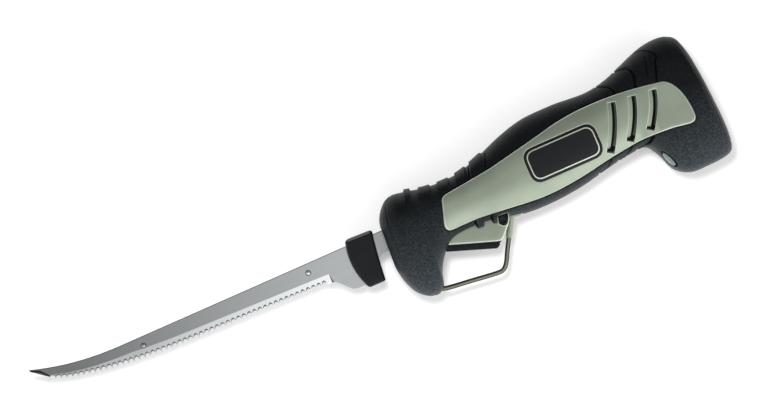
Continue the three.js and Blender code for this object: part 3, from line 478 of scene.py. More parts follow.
def grooves():
    """Grooves and creases of the rubber: run over the skin, half width and depth."""
    made = [
        (over_skin((164.8, 29.8), (166.4, 27), (165.4, 23.4), spine=158.7), 0.9, 1.2),
        (over_skin((179.6, 35.4), (180.8, 30), (178.4, 22.2), spine=172.4), 1.1, 1.5),
        (over_skin((197.2, 37.4), (196.0, 33), (191.8, 21.2), spine=187.5), 0.75, 1.1),
        (over_skin((191.6, 37.2), (188.4, 27.5)), 0.6, 0.6),
        (over_skin((150.6, -8.8), (147.8, -12.0), (144.6, -14.0), belly=140.0), 1.05, 1.7),
        (over_skin((164.8, -7.4), (161.6, -9.9), (158.2, -11.2), belly=153.5), 1.05, 1.7),
        (over_skin((178.2, -6.6), (175.4, -9.0), (172, -10.5), belly=166.5), 1.05, 1.7),
        (over_skin((69.2, 20.0), (68.0, 17.2), (66.8, 14.0)), 0.6, 0.8),
        (over_skin((81.2, 23.4), (79.6, 19.5), (78.0, 15.2)), 0.6, 0.8),
        (over_skin((190.2, -13), (189.4, -20), (190.8, -29)), 2.4, 0.55),
        (over_skin((15.6, 20.5), (13.2, 14), (11.6, 6), (10.9, -3), (11.2, -12), (11.5, -20), (11.9, -27),
                   (13, -33.5), (15.4, -38.2), spine=19.4, belly=19.6), 0.8, 0.3),
        (over_skin((212.6, 38), (215, 24), (216.2, 8), (216.6, -8), (216, -24), (213, -33.5)), 1.3, 0.25),
    ]
    for top, low, _ in TABS:
        made.append((over_skin(top, low), 0.85, 1.3))
    return made


def rib_lines():
    """Feet and crests of the ribs' edges, over the skin."""
    made = []
    ribbed = slice(300, 2000)
    along = SCAN[ribbed]
    ramp = RIB_RAMP / 2
    for low, high, _ in RIBS:
        for x in (low - ramp, low + ramp, high - ramp, high + ramp):
            line = []
            for around in np.linspace(0, 1.15, 40):
                points = handle_point(along, np.full(len(along), around))
                leaned = points[:, 0] + RIB_LEAN * (SCAN_SECTIONS[ribbed, 1] - points[:, 1])
                line.append((np.interp(x, leaned, along), around * GIRTH))
            made.append(evened(np.array(line), 0.8, closed=False))
    return made


def relief(along, around, points):
    """How far the moulded skin stands out of the plain handle form."""
    x, y, _ = points.T
    top = np.interp(along, SCAN, SCAN_SECTIONS[:, 1])
    leaned = x + RIB_LEAN * (top - y)
    lift = np.zeros(len(points))
    rise = smooth(y, top - RIB_FADE[0], top - RIB_FADE[1])
    for low, high, height in RIBS:
        lift += height * band(leaned, low, high, RIB_RAMP) * rise
    for (top_x, top_y), (low_x, low_y), width in TABS:
        front = top_x + (low_x - top_x) * (y - top_y) / (low_y - top_y)
        below = 1 - smooth(y, top_y - 1.6, top_y - 0.9)
        lift += TAB_HEIGHT * band(x - front, 0.2, width, 0.6) * below
    flat = flattened(along, around)
    for line, half, depth in GROOVES:
        near = np.all((flat > line.min(0) - half) & (flat < line.max(0) + half), axis=1)
        if near.any():
            lift[near] -= depth * (1 - smooth(line_distance(flat[near], line), 0, half))
    return lift


def skin_at(along, around):
    """Points and outward directions of the skin, its relief included."""
    points = handle_point(along, around)
    normals = handle_normal(along, around)
    return points + normals * relief(along, around, points)[:, None], normals


def rolled(points, normals, profile, sign):
    """Rings over the edge of a loop; the profile lists (across the edge, down from the skin)."""
    run = np.roll(points, -1, 0) - np.roll(points, 1, 0)
    across = unit(np.cross(run, normals)) * sign
    return [points + a * across - d * normals for a, d in profile]


def panel_outline():
    start = (46.0, -10.6)
    belly = [(62, -10.6), (80, -12.3), (104, -14.5), (126, -13.2), (150, -9.4), (172, -7), (190, -7.8)]
    spine = [(195, 20.4), (172, 24), (150, 25.3), (130, 24), (106, 19.3), (80, 14.4)]
    runs = [
        [start],
        spline(start, *belly),
        [(200, -9.5)],
        bezier((200, -9.5), (205, -10), (205.2, -5)),
        bezier((205.2, -5), (205.4, 4), (203, 17), spine[0]),
        spline(*spine),
        [(51, 11.1)],
        bezier((51, 11.1), (47.6, 10.7), (46.6, 8.8)),
        [(41.9, -5.5)],
        bezier((41.9, -5.5), (41, -10.2), start),
    ]
    return evened(np.vstack(runs)[:-1], 0.8)


def louvre_outline(index):
    """Front and rear edge of a louvre, from its lower end up."""
    low = np.array([149.9 + 13.5 * index, -6.6 + 1.5 * index])
    high = np.array([162.5 + 12.6 * index, 21.4 - 1.5 * index])
    bow = (low + high) / 2 + (3.4, 1.4)
    t = np.linspace(0, 1, 34)[:, None]
    line = (1 - t) ** 2 * low + 2 * (1 - t) * t * bow + t * t * high
    aside = left_of(line) * LOUVRE_WIDTH / 2
    return line + aside, line - aside


def badge_outline(grow):
    x, y, length, height, radius = BADGE
    box = rounded_box(x, y, length / 2 + grow, height / 2 + grow, radius + grow, count=10)
    return evened(box, 0.7)


GROOVES = grooves()
BELLY_GROOVES = GROOVES[4:7]
TAB_GROOVES = GROOVES[-len(TABS):]
RIB_LINES = rib_lines()
PANEL = panel_outline()


def smoothed(values):
    """Values around a loop without their finer waves."""
    waves = np.fft.rfft(values)
    waves[4:] = 0
    return np.fft.irfft(waves, len(values))


def lens_loop(grow):
    """Where the lens meets the skin, as (along, around)."""
    ends, _ = on_side([(178.0, -12.0), (192.0, -33.0)])
    axes = np.linspace(ends[0] - 4, ends[1] + 2, 90), np.linspace(1.6, math.pi, 90)
    along, around = (axis.ravel() for axis in np.meshgrid(*axes, indexing="ij"))
    skin = handle_point(along, around)
    face = unit(LENS_FACE)
    down = unit(LENS_DOWN - face * (LENS_DOWN @ face))
    across = np.cross(face, down)
    found = []
    for c, s in circle(48):
        foot = LENS_AT + down * (LENS_SIZE[0] + grow) * c + across * (LENS_SIZE[1] + grow) * s
        line = foot + face * np.linspace(-9, 9, 181)[:, None]
        near = np.linalg.norm(line[:, None] - skin[None], axis=2)
        found.append(np.unravel_index(near.argmin(), near.shape)[1])
    return smoothed(along[found]), smoothed(around[found])


def seam_angle(along, half):
    """Angle from the spine or belly at which the skin is `half` from the mid-plane."""
    section = hermite(KNOTS, SECTIONS, along)
    width, square = np.maximum(section[:, 4], half * 1.02), section[:, 5]
    side = np.minimum(half / width, 0.999)
    up = (1 - side ** square) ** (1 / square)
    return np.arctan2(side, up)


def grip_outline():
    """Border of the left grip on the flat skin: spine, pommel, belly, trigger slot, nose."""
    along = np.linspace(0, KNOTS[-1], 420)
    spine = np.stack([along, seam_angle(along, SEAM_HALF)], 1)
    front, back = on_belly(SLOT_SPAN)
    notch_front, notch_back, notch_top = NOTCH
    notch = on_side([(x, notch_top) for x in np.linspace(notch_back, notch_front, 14)])

    def low_edge(start, end, count, in_slot):
        along = np.linspace(start, end, count)
        wider = FLANK_WIDER * band(np.interp(along, SCAN, SCAN_SECTIONS[:, 2]), *FLANK_SPAN, 3.0)
        half = SLOT_HALF + wider if in_slot else SEAM_HALF
        return np.stack([along, math.pi - seam_angle(along, half)], 1)

    belly = [
        low_edge(KNOTS[-1], back, 260, False),
        low_edge(back, on_belly(notch_back), 20, True),
        np.stack(notch, 1),
        low_edge(on_belly(notch_front), front, 90, True),
        low_edge(front, 0, 110, False),
    ]
    ends = []
    for run, after in zip(belly, belly[1:]):
        steps = np.linspace(0, 1, 10)[1:-1, None]
        ends += [run, run[-1] * (1 - steps) + after[0] * steps]
    nose = np.stack([np.zeros(24), np.linspace(belly[-1][-1, 1], spine[0, 1], 26)[1:-1]], 1)
    loop = np.vstack([spine, *ends, belly[-1], nose])
    return loop * (1, GIRTH)


def grip_shape(wells):
    shape = Shape()
    outer = wound(grip_outline(), 1)
    loops = [on_side(evened(moved_out(PANEL, PANEL_GAP + EDGE_REACH), 0.7)), lens_loop(0.75)]
    if wells:
        ring = circle(40) * (WELL_RADIUS + EDGE_REACH)
        loops += [on_side(ring + at) for at in WELLS]
    holes = [wound(flattened(*loop), -1) for loop in loops]
    lines = list(RIB_LINES)
    for line, half, _ in GROOVES:
        aside = left_of(line) * half
        lines += [line + share * aside for share in (-1, -GROOVE_FLOOR, 0, GROOVE_FLOOR, 1)]
    flat, triangles = filled(outer, holes, SKIN_GRID, lines)
    points, _ = skin_at(flat[:, 0], flat[:, 1] / GIRTH)
    middles = flat[triangles].mean(1)
    # Floors of the belly and tab grooves get the black finish: painted shade in the creases
    groove_shade = np.zeros(len(triangles), int)
    for line, half, _ in BELLY_GROOVES + TAB_GROOVES:
        groove_shade[line_distance(middles, line) < GROOVE_FLOOR * half] = 1
    shape.add(points, triangles, groove_shade.tolist())
    for k, loop in enumerate([outer, *holes]):
        points, normals = skin_at(loop[:, 0], loop[:, 1] / GIRTH)
        rings = rolled(points, normals, EDGE, -1)
        if k > 2:  # past the border, the panel and the lens
            rings[-1] = rings[-2] - (0, 0, WELL_DEPTH)
        shape.rings(rings)
    return shape


def on_cover(xy, lift):
    """Points and outward directions over the skin, nowhere past the flats."""
    along, around = on_side(xy)
    normals = handle_normal(along, around)
    points = handle_point(along, around) + normals * lift
    points[:, 2] = np.minimum(points[:, 2], FLAT_HALF)
    return points, normals


def panel_shape():
    shape = Shape()
    painted_highlight, black, wall_shade, vane_shade = range(1, 5)
    rim = [(0, 0), (0.3, 0.05), (0.56, 0.19), (0.76, 0.42), (0.87, 0.75)]
    rim += [(PANEL_ROUNDING, 1.1), (PANEL_ROUNDING, 2.1)]
    outer = wound(evened(moved_out(PANEL, -PANEL_ROUNDING), 0.8), 1)
    louvres = [louvre_outline(index) for index in range(LOUVRES)]
    slots = [evened(np.vstack([left, right[::-1]]), 0.45) for left, right in louvres]
    holes = [wound(hole, -1) for hole in (*slots, badge_outline(0.55))]
    flat, triangles = filled(outer, holes, PANEL_GRID)
    shape.add(on_cover(flat, PANEL_PROUD)[0], triangles)
    edge = rolled(*on_cover(outer, PANEL_PROUD), rim, 1)
    # The panel's rim and the rims of its holes are painted pale: a painted highlight
    shape.rings(edge[:5], finish=painted_highlight)
    shape.rings(edge[4:])
    for hole in holes:
        shape.rings(rolled(*on_cover(hole, PANEL_PROUD), EDGE, 1), finish=painted_highlight)
    # Across the louvre: share of the width, depth and finish from there on. The finishes are painted shade: darker
    # sage on the sunk vane, black in the slit and at the lower end, dark green on the wall.
    across = [(0.04, 0.35, vane_shade), (0.09, 0.6, vane_shade), (0.28, 0.8, vane_shade), (0.42, 1.1, black),
              (0.46, 2.0, black), (0.69, 2.0, wall_shade), (0.76, 1.4, wall_shade), (0.96, 0.5, wall_shade)]
    for left, right in louvres:
        place = np.linspace(0, 1, len(left))
        sink = 1.8 * (1 - smooth(place, 0.0, 0.12))
        rows, finishes = [], []
        for share, depth, finish in across:
            points, normals = on_cover(left * (1 - share) + right * share, PANEL_PROUD)
            drop = np.minimum(depth + sink * min(4 * share, 1), LOUVRE_FLOOR)
            rows.append(points - normals * drop[:, None])
            black_end = 0.05 if share < 0.4 else 0.1
            finishes += [black if low < black_end else finish for low in place[:-1]]
        shape.rings(rows, closed=False, finish=finishes[:1 - len(place)])
    return shape


def badge_shape():
    shape = Shape()
    loops = [wound(badge_outline(grow), 1) for grow in (-0.5, -1.5, -2.2)]
    for k, loop in enumerate(loops):
        holes = [wound(inner, -1) for inner in loops[k + 1:k + 2]]
        flat, triangles = filled(loop, holes, PANEL_GRID)
        shape.add(on_cover(flat, BADGE_PROUD)[0], triangles, finish=k % 2)
    rim = [(0, 0), (0.22, 0.05), (0.4, 0.2), (0.48, 0.4), (0.5, 1.2)]
    shape.rings(rolled(*on_cover(loops[0], BADGE_PROUD), rim, 1))
    return shape


def lens_shape():
    shape = Shape()
    along, around = lens_loop(-0.35)
    middle = np.array([along.mean(), around.mean()])
    loop = np.stack([along, around], 1)
    seat = [(1.0, -1.6), (1.0, -0.35), (0.86, -0.25)]  # share of the loop, height over the skin
    dome = [(0.82, 0.06), (0.6, 0.26), (0.3, 0.36), (0.02, 0.4)]
    rows = []
    for share, lift in seat + dome:
        ring = middle + (loop - middle) * share
        points = handle_point(*ring.T)
        rows.append(points + handle_normal(*ring.T) * lift)
    shape.rings(rows[:3], finish=1)
    shape.rings(rows[2:], caps=(-1,))
    return shape


def slab(shape, outline, low, high, radius, low_radius=None, steps=4, holes=(), rim=0, face=0):
    """Plate between two levels of Z with rounded rims; `rim` (or a list) and `face` are finishes."""
    loop = wound(outline, 1)
    low_radius = radius if low_radius is None else low_radius
    rings = []
    for level, turn, size in ((low, -1, low_radius), (high, 1, radius)):
        angles = np.linspace(0, math.pi / 2, steps + 1) if size else np.array([0.0])
        angles = angles[::-1] if turn < 0 else angles
        for angle in angles:
            flat = moved_out(loop, -size * (1 - math.cos(angle)))
            rings.append(at_level(flat, level - turn * size * (1 - math.sin(angle))))
    shape.rings(rings, finish=rim if isinstance(rim, int) else rim * (len(rings) - 1))
    for ring in (rings[0], rings[-1]):
        points, triangles = filled(wound(ring[:, :2], 1), holes, (2.5, 2.5))
        shape.add(at_level(points, ring[0, 2]), triangles, face)
    for hole in holes:
        shape.rings([at_level(hole, z) for z in (low, high)])


def turned(shape, profile, at, finish=0):
    """Form turned about Z; the profile lists (along, radius)."""
    rows = [at_level(radius * circle(36), along) + at for along, radius in profile]
    shape.rings(rows, finish=finish)


def swept(shape, path, radius, finish=0):
    """Round wire along a path in the mid-plane; `finish` may list one for each side."""
    c, s = circle(WIRE_SIDES).T
    radii = np.broadcast_to(radius, len(path))
    rows = []
    for point, way, r in zip(path, left_of(path), radii):
        flat = point + way * (r * c)[:, None]
        rows.append(np.column_stack([flat, r * s]))
    if finish:
        finish = finish * (len(rows) - 1) + [0, 0]
    shape.rings(rows, caps=(0, -1), finish=finish)


def edge_lines():
    """Edge from heel to tip: tooth tips, upward direction, share of the way, depth of the gullets."""
    heel = np.array([COLLAR_FRONT - 18, EDGE_AT_HEEL])
    bend = np.array([EDGE_BEND, EDGE_AT_HEEL + (heel[0] - EDGE_BEND) * EDGE_SLOPE])
    end = np.array([TIP_X + 10, TIP_Y - 8.9])
    sweep = bezier(bend, (TIP_X + 32, bend[1] + 1.5), end, count=80)
    line = evened(np.vstack([heel, bend, sweep]), 1, closed=False)
    length = lengths_to(line)[-1]
    teeth = round(length / TOOTH_PITCH)
    shares = np.linspace(0, 1, teeth * 16 + 1)
    points = at_lengths(line, shares * length)
    gullet = np.sqrt(np.clip(1 - ((shares * teeth % 1 - 0.5) / 0.42) ** 2, 0, 1))
    return points, -left_of(points), shares, gullet


def blade_shape(slot_half):
    """One blade: flat body, toothed bevel, point painted dark as painted shade, run-out of the grinding at the
    heel, painted dark as well.
    """
    shape = Shape()
    dark, shaded_gullet, black_line = range(1, 4)
    inner, outer = BLADE_INNER, BLADE_OUTER
    tips, up, shares, gullet = edge_lines()
    width = BEVEL * np.minimum(1, 0.35 + 2.2 * (1 - shares))
    for x in RIVETS.values():
        room = (RIVET_Y - RIVET_SLOT - 0.1 - tips[:, 1]) / up[:, 1]
        away = smooth(np.abs(tips[:, 0] - x), slot_half + 0.5, slot_half + 12)
        width = np.minimum(width, room + 9 * away)
    depth = np.minimum(TOOTH_DEPTH, 0.55 * width) * gullet
    cut = tips + up * depth[:, None]
    reach = np.minimum(GRIND_HEIGHT + 1.2 * depth, 0.9 * width)
    ground = tips + up * reach[:, None]
    bevel = tips + up * width[:, None]
    heel = np.array([COLLAR_FRONT - 15.2, EDGE_AT_HEEL - 0.15])
    heel_top = heel + up[0] * BEVEL
    cut = np.vstack([heel, cut])
    ground = np.vstack([heel + up[0] * GRIND_HEIGHT, ground])
    bevel = np.vstack([heel_top, bevel])
    thin = inner + 0.3
    ground_z = thin + (outer - thin) * np.concatenate([[GRIND_HEIGHT / BEVEL], reach / width])
    rows = [at_level(cut, inner), at_level(cut, inner + 0.12)]
    rows += [np.column_stack([ground, ground_z]), at_level(bevel, outer)]
    shape.rings(rows[:2], closed=False)
    # Over the gullets the grinding is painted dark: painted shade
    shape.rings(rows[1:3], closed=False, finish=[shaded_gullet if hollow > 0.2 else 0 for hollow in gullet])
    shape.rings(rows[2:], closed=False)

    foot_x, foot_y = COLLAR_FRONT - 14, EDGE_AT_HEEL - 0.45
    foot = np.array([foot_x, foot_y])
    run_out = [(*heel, thin), (*foot, outer), (*heel_top, outer)]
    # The heel's run-out is painted dark: painted shade
    shape.add(run_out, [(0, 1, 2)], dark)
    shape.add([(*heel, inner), *run_out[:2], (*foot, inner)], [(0, 1, 2, 3)])

    heel_curve = [(foot_x + 4, foot_y - 1.2), (foot_x + 7, -HEEL_DEPTH), (foot_x + 12, -HEEL_DEPTH)]
    under_collar = [(COLLAR_FRONT + 4, -HEEL_DEPTH), (COLLAR_BACK - 2.5, -8.0), (COLLAR_BACK + 1, -SPINE)]
    tang = [(TANG_END, -SPINE), (TANG_END, SPINE), (TIP_X + 56, SPINE)]
    rise = bezier(tang[-1], (TIP_X + 26, SPINE), (TIP_X, TIP_Y), count=24)
    body = np.vstack([foot[None], bezier(foot, *heel_curve), under_collar, tang, rise])
    point = np.array([(TIP_X + 0.2, TIP_Y - 1.3), (TIP_X + 5.0, TIP_Y - 5.0), cut[-1]])
    ridge = np.array([(TIP_X + 0.5, TIP_Y - 0.6), (TIP_X + 6.2, TIP_Y - 3.0), bevel[-1]])
    under = ridge + (point - ridge) * np.array([[0.7], [0.52], [0.5]])
    facet = [at_level(point, inner), at_level(point, inner + 0.25)]
    facet += [at_level(under, outer - 0.15), at_level(ridge, outer)]
    # The point's facet is painted dark: painted shade
    shape.rings(facet[1:3], closed=False, finish=dark)
    # A black line along the point's ridge: painted shade
    shape.rings(facet[2:], closed=False, finish=black_line)
    shape.rings(facet[:2], closed=False)
    tip = [(TIP_X, TIP_Y, inner), (TIP_X, TIP_Y, outer)]
    shape.add([*tip, facet[3][0], facet[1][0], facet[0][0]], [(0, 1, 2, 3, 4)])

    spine = len(body) - len(rise) - 2  # first corner of the spine's run
    face = body.copy()
    face[spine:-1] += SPINE_EDGE * left_of(body[spine:])[:-1]
    shoulder = at_level(body, outer - SPINE_EDGE)
    shape.rings([at_level(body, inner), shoulder], closed=False)
    # The chamfer along the spine is painted dark: painted shade
    on_spine = [dark if k >= spine else 0 for k in range(len(body) - 1)]
    shape.rings([shoulder, at_level(face, outer)], closed=False, finish=on_spine)

    holes = [rounded_box(x, RIVET_Y, slot_half, RIVET_SLOT, RIVET_SLOT) for x in RIVETS.values()]
    for loop, z in ((np.vstack([face, ridge, bevel[-2::-1]]), outer),
                    (np.vstack([body, point, cut[-2::-1]]), inner)):
        points, triangles = filled(loop, holes, None)
        shape.add(at_level(points, z), triangles)
    for loop in holes:
        shape.rings([at_level(loop, z) for z in (inner, outer)])
    return shape


def collar_shape():
    shape = Shape()
    front, back = COLLAR_FRONT, COLLAR_BACK
    outline = np.vstack([
        [(back - 1.8, 9.5), (front + 4.2, 10)],
        bezier((front + 4.2, 10), (front + 1.4, 10), (front + 1.2, 7)),
        bezier((front + 1.2, 7), (front - 2.5, -7), (front + 3.4, -20.6), count=20),
        bezier((front + 3.4, -20.6), (front + 4, -22), (front + 5.6, -22)),
        [(back - 5.2, -22)],
        bezier((back - 5.2, -22), (back - 4, -22), (back - 4, -20.4)),
        bezier((back - 4, -20.4), (back - 2.4, -4), (back, 7.6), count=20),
        bezier((back, 7.6), (back + 0.2, 9.3), (back - 1.8, 9.5))[:-1],
    ])
    loop = wound(evened(outline, 0.7), 1)
    # The rim along the top is painted lighter: a painted highlight
    on_top = [int(y > 9.3) for y in np.minimum(loop[:, 1], np.roll(loop[:, 1], -1))]
    slab(shape, loop, BLADE_OUTER + 0.3, COLLAR_HALF, 1.7, 0.0, steps=3, rim=on_top)
    return shape


def lock_outline(radius):
    """Round with slightly squared corners."""
    c, s = circle(48).T
    reach = radius * (np.abs(c) ** 2.6 + np.abs(s) ** 2.6) ** (-1 / 2.6)
    return np.stack([LOCK[0] + reach * c, LOCK[1] + reach * s], 1)


def trigger_shape():
    """Wedge whose flanks carry the framed eye of the lock button."""
    shape = Shape()
    painted_highlight, black = 1, 2
    front = [(39.4, -8.0, 2.5), (45.6, -6.4, 3), (48.4, -10.6, 1), (79, -12.2, 1.6)]
    sole = [(70.6, -28.4, 3.4), (66.5, -28.3, 2), (38, -18, 1.5), (36.9, -15.6, 1.5)]
    spring_seat = [(49.6, -10.7, 0), (49.6, -12.8, 0), (55.4, -12.8, 0), (55.4, -11.0, 0)]
    core = rounded(*front[:3], *spring_seat, front[3], (79.3, -14.4, 1.5), *sole)
    lower = [(70.4, -28.3, 2.6), (67.0, -27.5, 1.6), (38.5, -17.4, 1.4), (37.0, -15.4, 1.6)]
    flank = rounded(*front, (80.7, -14.6, 1.2), (79.8, -17.5, 1), (77.8, -20.7, 1.4), *lower)
    frame_line = rounded((71.7, -18.6, 1.2), (73.2, -13.2, 1), (80.6, -13.8, 1), (79.4, -17.6, 1),
                         (77.4, -20.8, 1.4), (74.6, -21.4, 1.4))
    eye = lock_outline(LOCK_RADIUS + 0.15)
    inner = TRIGGER_HALF - 3.4
    slab(shape, evened(core, 0.7), -inner, inner, 0.0)
    half = Shape()
    # The flanks' rims and the frame round the lock are painted pale: a painted highlight
    slab(half, evened(flank, 0.7), inner, TRIGGER_HALF, 0.9, 0.0, steps=5, holes=[eye], rim=painted_highlight)
    rim_line = wound(evened(frame_line, 0.45), 1)
    well_line = moved_out(rim_line, -0.55)
    slab(half, rim_line, TRIGGER_HALF - 1, LOCK_FACE, 0.1, 0.0, holes=[well_line], rim=painted_highlight, face=painted_highlight)
    slab(half, well_line, TRIGGER_HALF - 0.5, TRIGGER_HALF + 0.2, 0.0, holes=[eye], face=black)
    for side in (half, half.mirrored()):
        shape.add(np.vstack(side.points), side.faces, side.finishes)
    return shape


def pad_shape():
    """Rubber strip under the trigger's sole, with the narrower neck that holds it."""
    shape = Shape()
    front, back = np.array([38.0, -18.0]), np.array([66.5, -28.3])
    run = unit(back - front)
    down = np.array([run[1], -run[0]])
    # Corners: along and down from an end of the sole, radius
    strip = [(front, -0.6, 0.3, 0.6), (front, -0.4, 3.2, 1.0),
             (back, 0.6, 3.2, 1.4), (back, 2.4, 0.3, 0.8)]
    neck = [(front, 1.0, -1.2, 0.2), (front, 1.0, 0.6, 0.2),
            (back, 1.6, 0.6, 0.2), (back, 3.0, -1.2, 0.2)]
    for corners, half, soft in ((strip, PAD_HALF, 0.5), (neck, PAD_HALF - 0.6, 0.1)):
        outline = [(*(end + run * along + down * depth), radius) for end, along, depth, radius in corners]
        slab(shape, evened(rounded(*outline), 0.5), -half, half, soft)
    return shape


GUARD = [(20.5, -36.4), (24.5, -39.4), (29, -41.1), (44, -43), (59, -44.9), (63.8, -44.6), (67, -41.6),
         (70.4, -35.6), (74.3, -28.9), (78.5, -21.6), (82, -15.5)]


def guard_shape():
    shape = Shape()
    # Sides other than 5 to 7 are painted dark: painted shade on the wire, leaving a lighter stripe along it
    dark_sides = [0 if 5 <= side <= 7 else 1 for side in range(WIRE_SIDES)]
    swept(shape, np.vstack([GUARD[:1], spline(*GUARD)]), WIRE_RADIUS, dark_sides)
    return shape


def socket_shape():
    shape = Shape()
    start, end = np.array([74.6, -28.4]), np.array([82.4, -14.8])
    path = start + (end - start) * np.linspace(0, 1, 24)[:, None]
    swept(shape, path, np.linspace(1.85, 2.3, 24))
    foot = rounded((80.2, -13.6, 0.6), (80.6, -18.2, 1.2), (88, -19.2, 2.5), (88, -13.6, 0.6))
    slab(shape, evened(foot, 0.5), -SLOT_HALF + 0.3, SLOT_HALF - 0.3, 0.6)
    return shape


def lock_shape():
    """Cross-bolt with a shallow dish in its face."""
    shape = Shape()
    low, high = LOCK_TRAVEL - LOCK_FACE, LOCK_FACE
    loop = lock_outline(LOCK_RADIUS - 0.1)
    stem = [(low, 0.1), (low, 1.0), (high - 0.35, 1.0)]  # z, share of the loop
    dish = [(high - 0.1, 0.93), (high, 0.82), (high - 0.2, 0.7), (high - 0.35, 0.1)]
    rows = [at_level(LOCK + (loop - LOCK) * share, z) for z, share in stem + dish]
    shape.rings(rows, caps=(0, -1))
    return shape


def rivet_shape(x):
    shape = Shape()
    at = (x, RIVET_Y, 0.0)
    shank, washer, head = 1.1, 1.72, 1.32  # radii
    tall = BLADE_OUTER + 0.04
    turned(shape, [(-tall, shank), (tall, shank)], at)
    seat = [(tall, shank), (tall, washer), (tall + 0.03, washer), (tall + 0.03, head)]
    angles = np.linspace(0, math.pi / 2 - 0.02, 9)
    dome = np.stack([tall + 0.75 * np.sin(angles), head * np.cos(angles)], 1)
    for side in (-1, 1):
        # The seat rings round the head are painted dark: painted shade
        turned(shape, seat * np.array([side, 1]), at, finish=1)
        turned(shape, dome * np.array([side, 1]), at)
    return shape


# Materials
class Nodes:
    """Shorthand for adding nodes to a tree; a link's source is a socket or a value."""

    def __init__(self, tree):
        self.tree = tree

    def node(self, kind, links=None, **settings):
        made = self.tree.nodes.new(kind)
        for key, value in settings.items():
            setattr(made, key, value)
        for socket, source in (links or {}).items():
            if isinstance(source, bpy.types.NodeSocket):
                self.tree.links.new(source, made.inputs[socket])
            else:
                made.inputs[socket].default_value = source
        return made

    def ramp(self, source, stops):
        made = self.node("ShaderNodeValToRGB", {"Fac": source})
        elements = made.color_ramp.elements
        while len(elements) < len(stops):
            elements.new(0.5)
        for element, (position, color) in zip(elements, stops):
            element.position = position
            element.color = (*color, 1)
        return made.outputs["Color"]


class Paint(Nodes):
    """Node material with a Principled shader."""

    def __init__(self, name, **sockets):
        self.material = bpy.data.materials.new(name)
        self.material.use_nodes = True
        super().__init__(self.material.node_tree)
        self.shader = self.tree.nodes["Principled BSDF"]
        for socket, value in sockets.items():
            self.shader.inputs[socket.replace("_", " ")].default_value = value
        self.coordinates = self.node("ShaderNodeTexCoord").outputs["Object"]

    def noise(self, scale, detail=3.0, stretch=None):
        where = self.coordinates
        if stretch:
            where = self.node("ShaderNodeMapping", {"Vector": where, "Scale": stretch}).outputs["Vector"]
        made = self.node("ShaderNodeTexNoise", {"Vector": where, "Scale": scale, "Detail": detail})
        return made.outputs["Fac"]

    def cells(self, scale):
        links = {"Vector": self.coordinates, "Scale": scale}
        return self.node("ShaderNodeTexVoronoi", links, feature="SMOOTH_F1").outputs["Distance"]

    def tint(self, source, color, shades, fades=()):
        """Base color: shares of the color along the source, then faded along axes."""
        stops = [(at, tuple(channel * share for channel in color)) for at, share in shades]
        tone = self.ramp(source, stops)
        for axis, low, high, share in fades:
            along = self.node("ShaderNodeSeparateXYZ", {"Vector": self.coordinates}).outputs[axis]
            ends = {"Value": along, "From Min": low, "From Max": high, "To Min": 1.0, "To Max": share}
            level = self.node("ShaderNodeMapRange", ends).outputs["Result"]
            scaled = self.node("ShaderNodeVectorMath", {0: tone, "Scale": level}, operation="SCALE")
            tone = scaled.outputs["Vector"]
        self.link(tone, "Base Color")

    def roughen(self, source, low, high):
        made = self.node("ShaderNodeMapRange", {"Value": source, "To Min": low, "To Max": high})
        self.link(made.outputs["Result"], "Roughness")

    def mix(self, first, second, share=0.5):
        both = self.node("ShaderNodeMath", {0: first, 1: second}, operation="ADD").outputs[0]
        return self.node("ShaderNodeMath", {0: both, 1: share}, operation="MULTIPLY").outputs[0]

    def bump(self, height, strength, distance):
        made = self.node("ShaderNodeBump", {"Height": height, "Strength": strength, "Distance": distance})
        self.link(made.outputs["Normal"], "Normal")

    def link(self, source, socket):
        self.tree.links.new(source, self.shader.inputs[socket])


def rubber(name, color, pebble, size, fades=()):
    """Moulded rubber; `size` is the pebbles' size in metres."""
    paint = Paint(name, Specular_IOR_Level=0.16, Specular_Tint=(0.84, 0.93, 1.0, 1.0))
    grain = paint.mix(paint.cells(1 / size), paint.noise(1.3 / size, 2.0))
    paint.tint(grain, color, [(0.3, 1.7), (0.42, 1.0), (0.6, 0.6)], fades)
    paint.roughen(paint.noise(420.0), 0.4, 0.55)
    paint.bump(grain, pebble, -size * 0.4)
    return paint.material


def plastic(name, color, roughness, gloss=0.5):
    paint = Paint(name, Specular_IOR_Level=gloss)
    paint.tint(paint.noise(90.0), color, [(0.3, 0.88), (0.7, 1.12)])
    paint.roughen(paint.noise(700.0), roughness - 0.06, roughness + 0.06)
    paint.bump(paint.noise(2600.0), 0.12, 0.0001)
    return paint.material


def painted(name, color):
    """Metallic paint."""
    paint = Paint(name, Metallic=0.8, Coat_Weight=0.15, Coat_Roughness=0.3)
    flakes = paint.mix(paint.noise(9000.0, 1.0), paint.noise(70.0))
    paint.tint(flakes, color, [(0.35, 0.92), (0.65, 1.08)])
    paint.roughen(paint.noise(800.0), 0.34, 0.44)
    paint.bump(paint.noise(1800.0), 0.05, 0.0001)
    return paint.material


def steel(name, color, roughness, grain, fades=(), metallic=1.0):
    """Metal with grinding lines; `grain` stretches the texture along them."""
    paint = Paint(name, Metallic=metallic)
    lines = paint.noise(1.0, 2.0, grain)
    paint.tint(lines, color, [(0.3, 0.96), (0.7, 1.04)], fades)
    paint.roughen(lines, roughness - 0.03, roughness + 0.03)
    paint.bump(lines, 0.03, 0.00001)
    return paint.material


def clear_plastic(name, color):
    paint = Paint(name, Roughness=0.12, Transmission_Weight=0.35, IOR=1.49)
    paint.tint(paint.noise(160.0), color, [(0.3, 0.85), (0.7, 1.1)])
    paint.bump(paint.noise(500.0), 0.04, 0.0002)
    return paint.material


LENGTHWISE = (20.0, 4000.0, 4000.0)
CROSSWISE = (4000.0, 20.0, 4000.0)
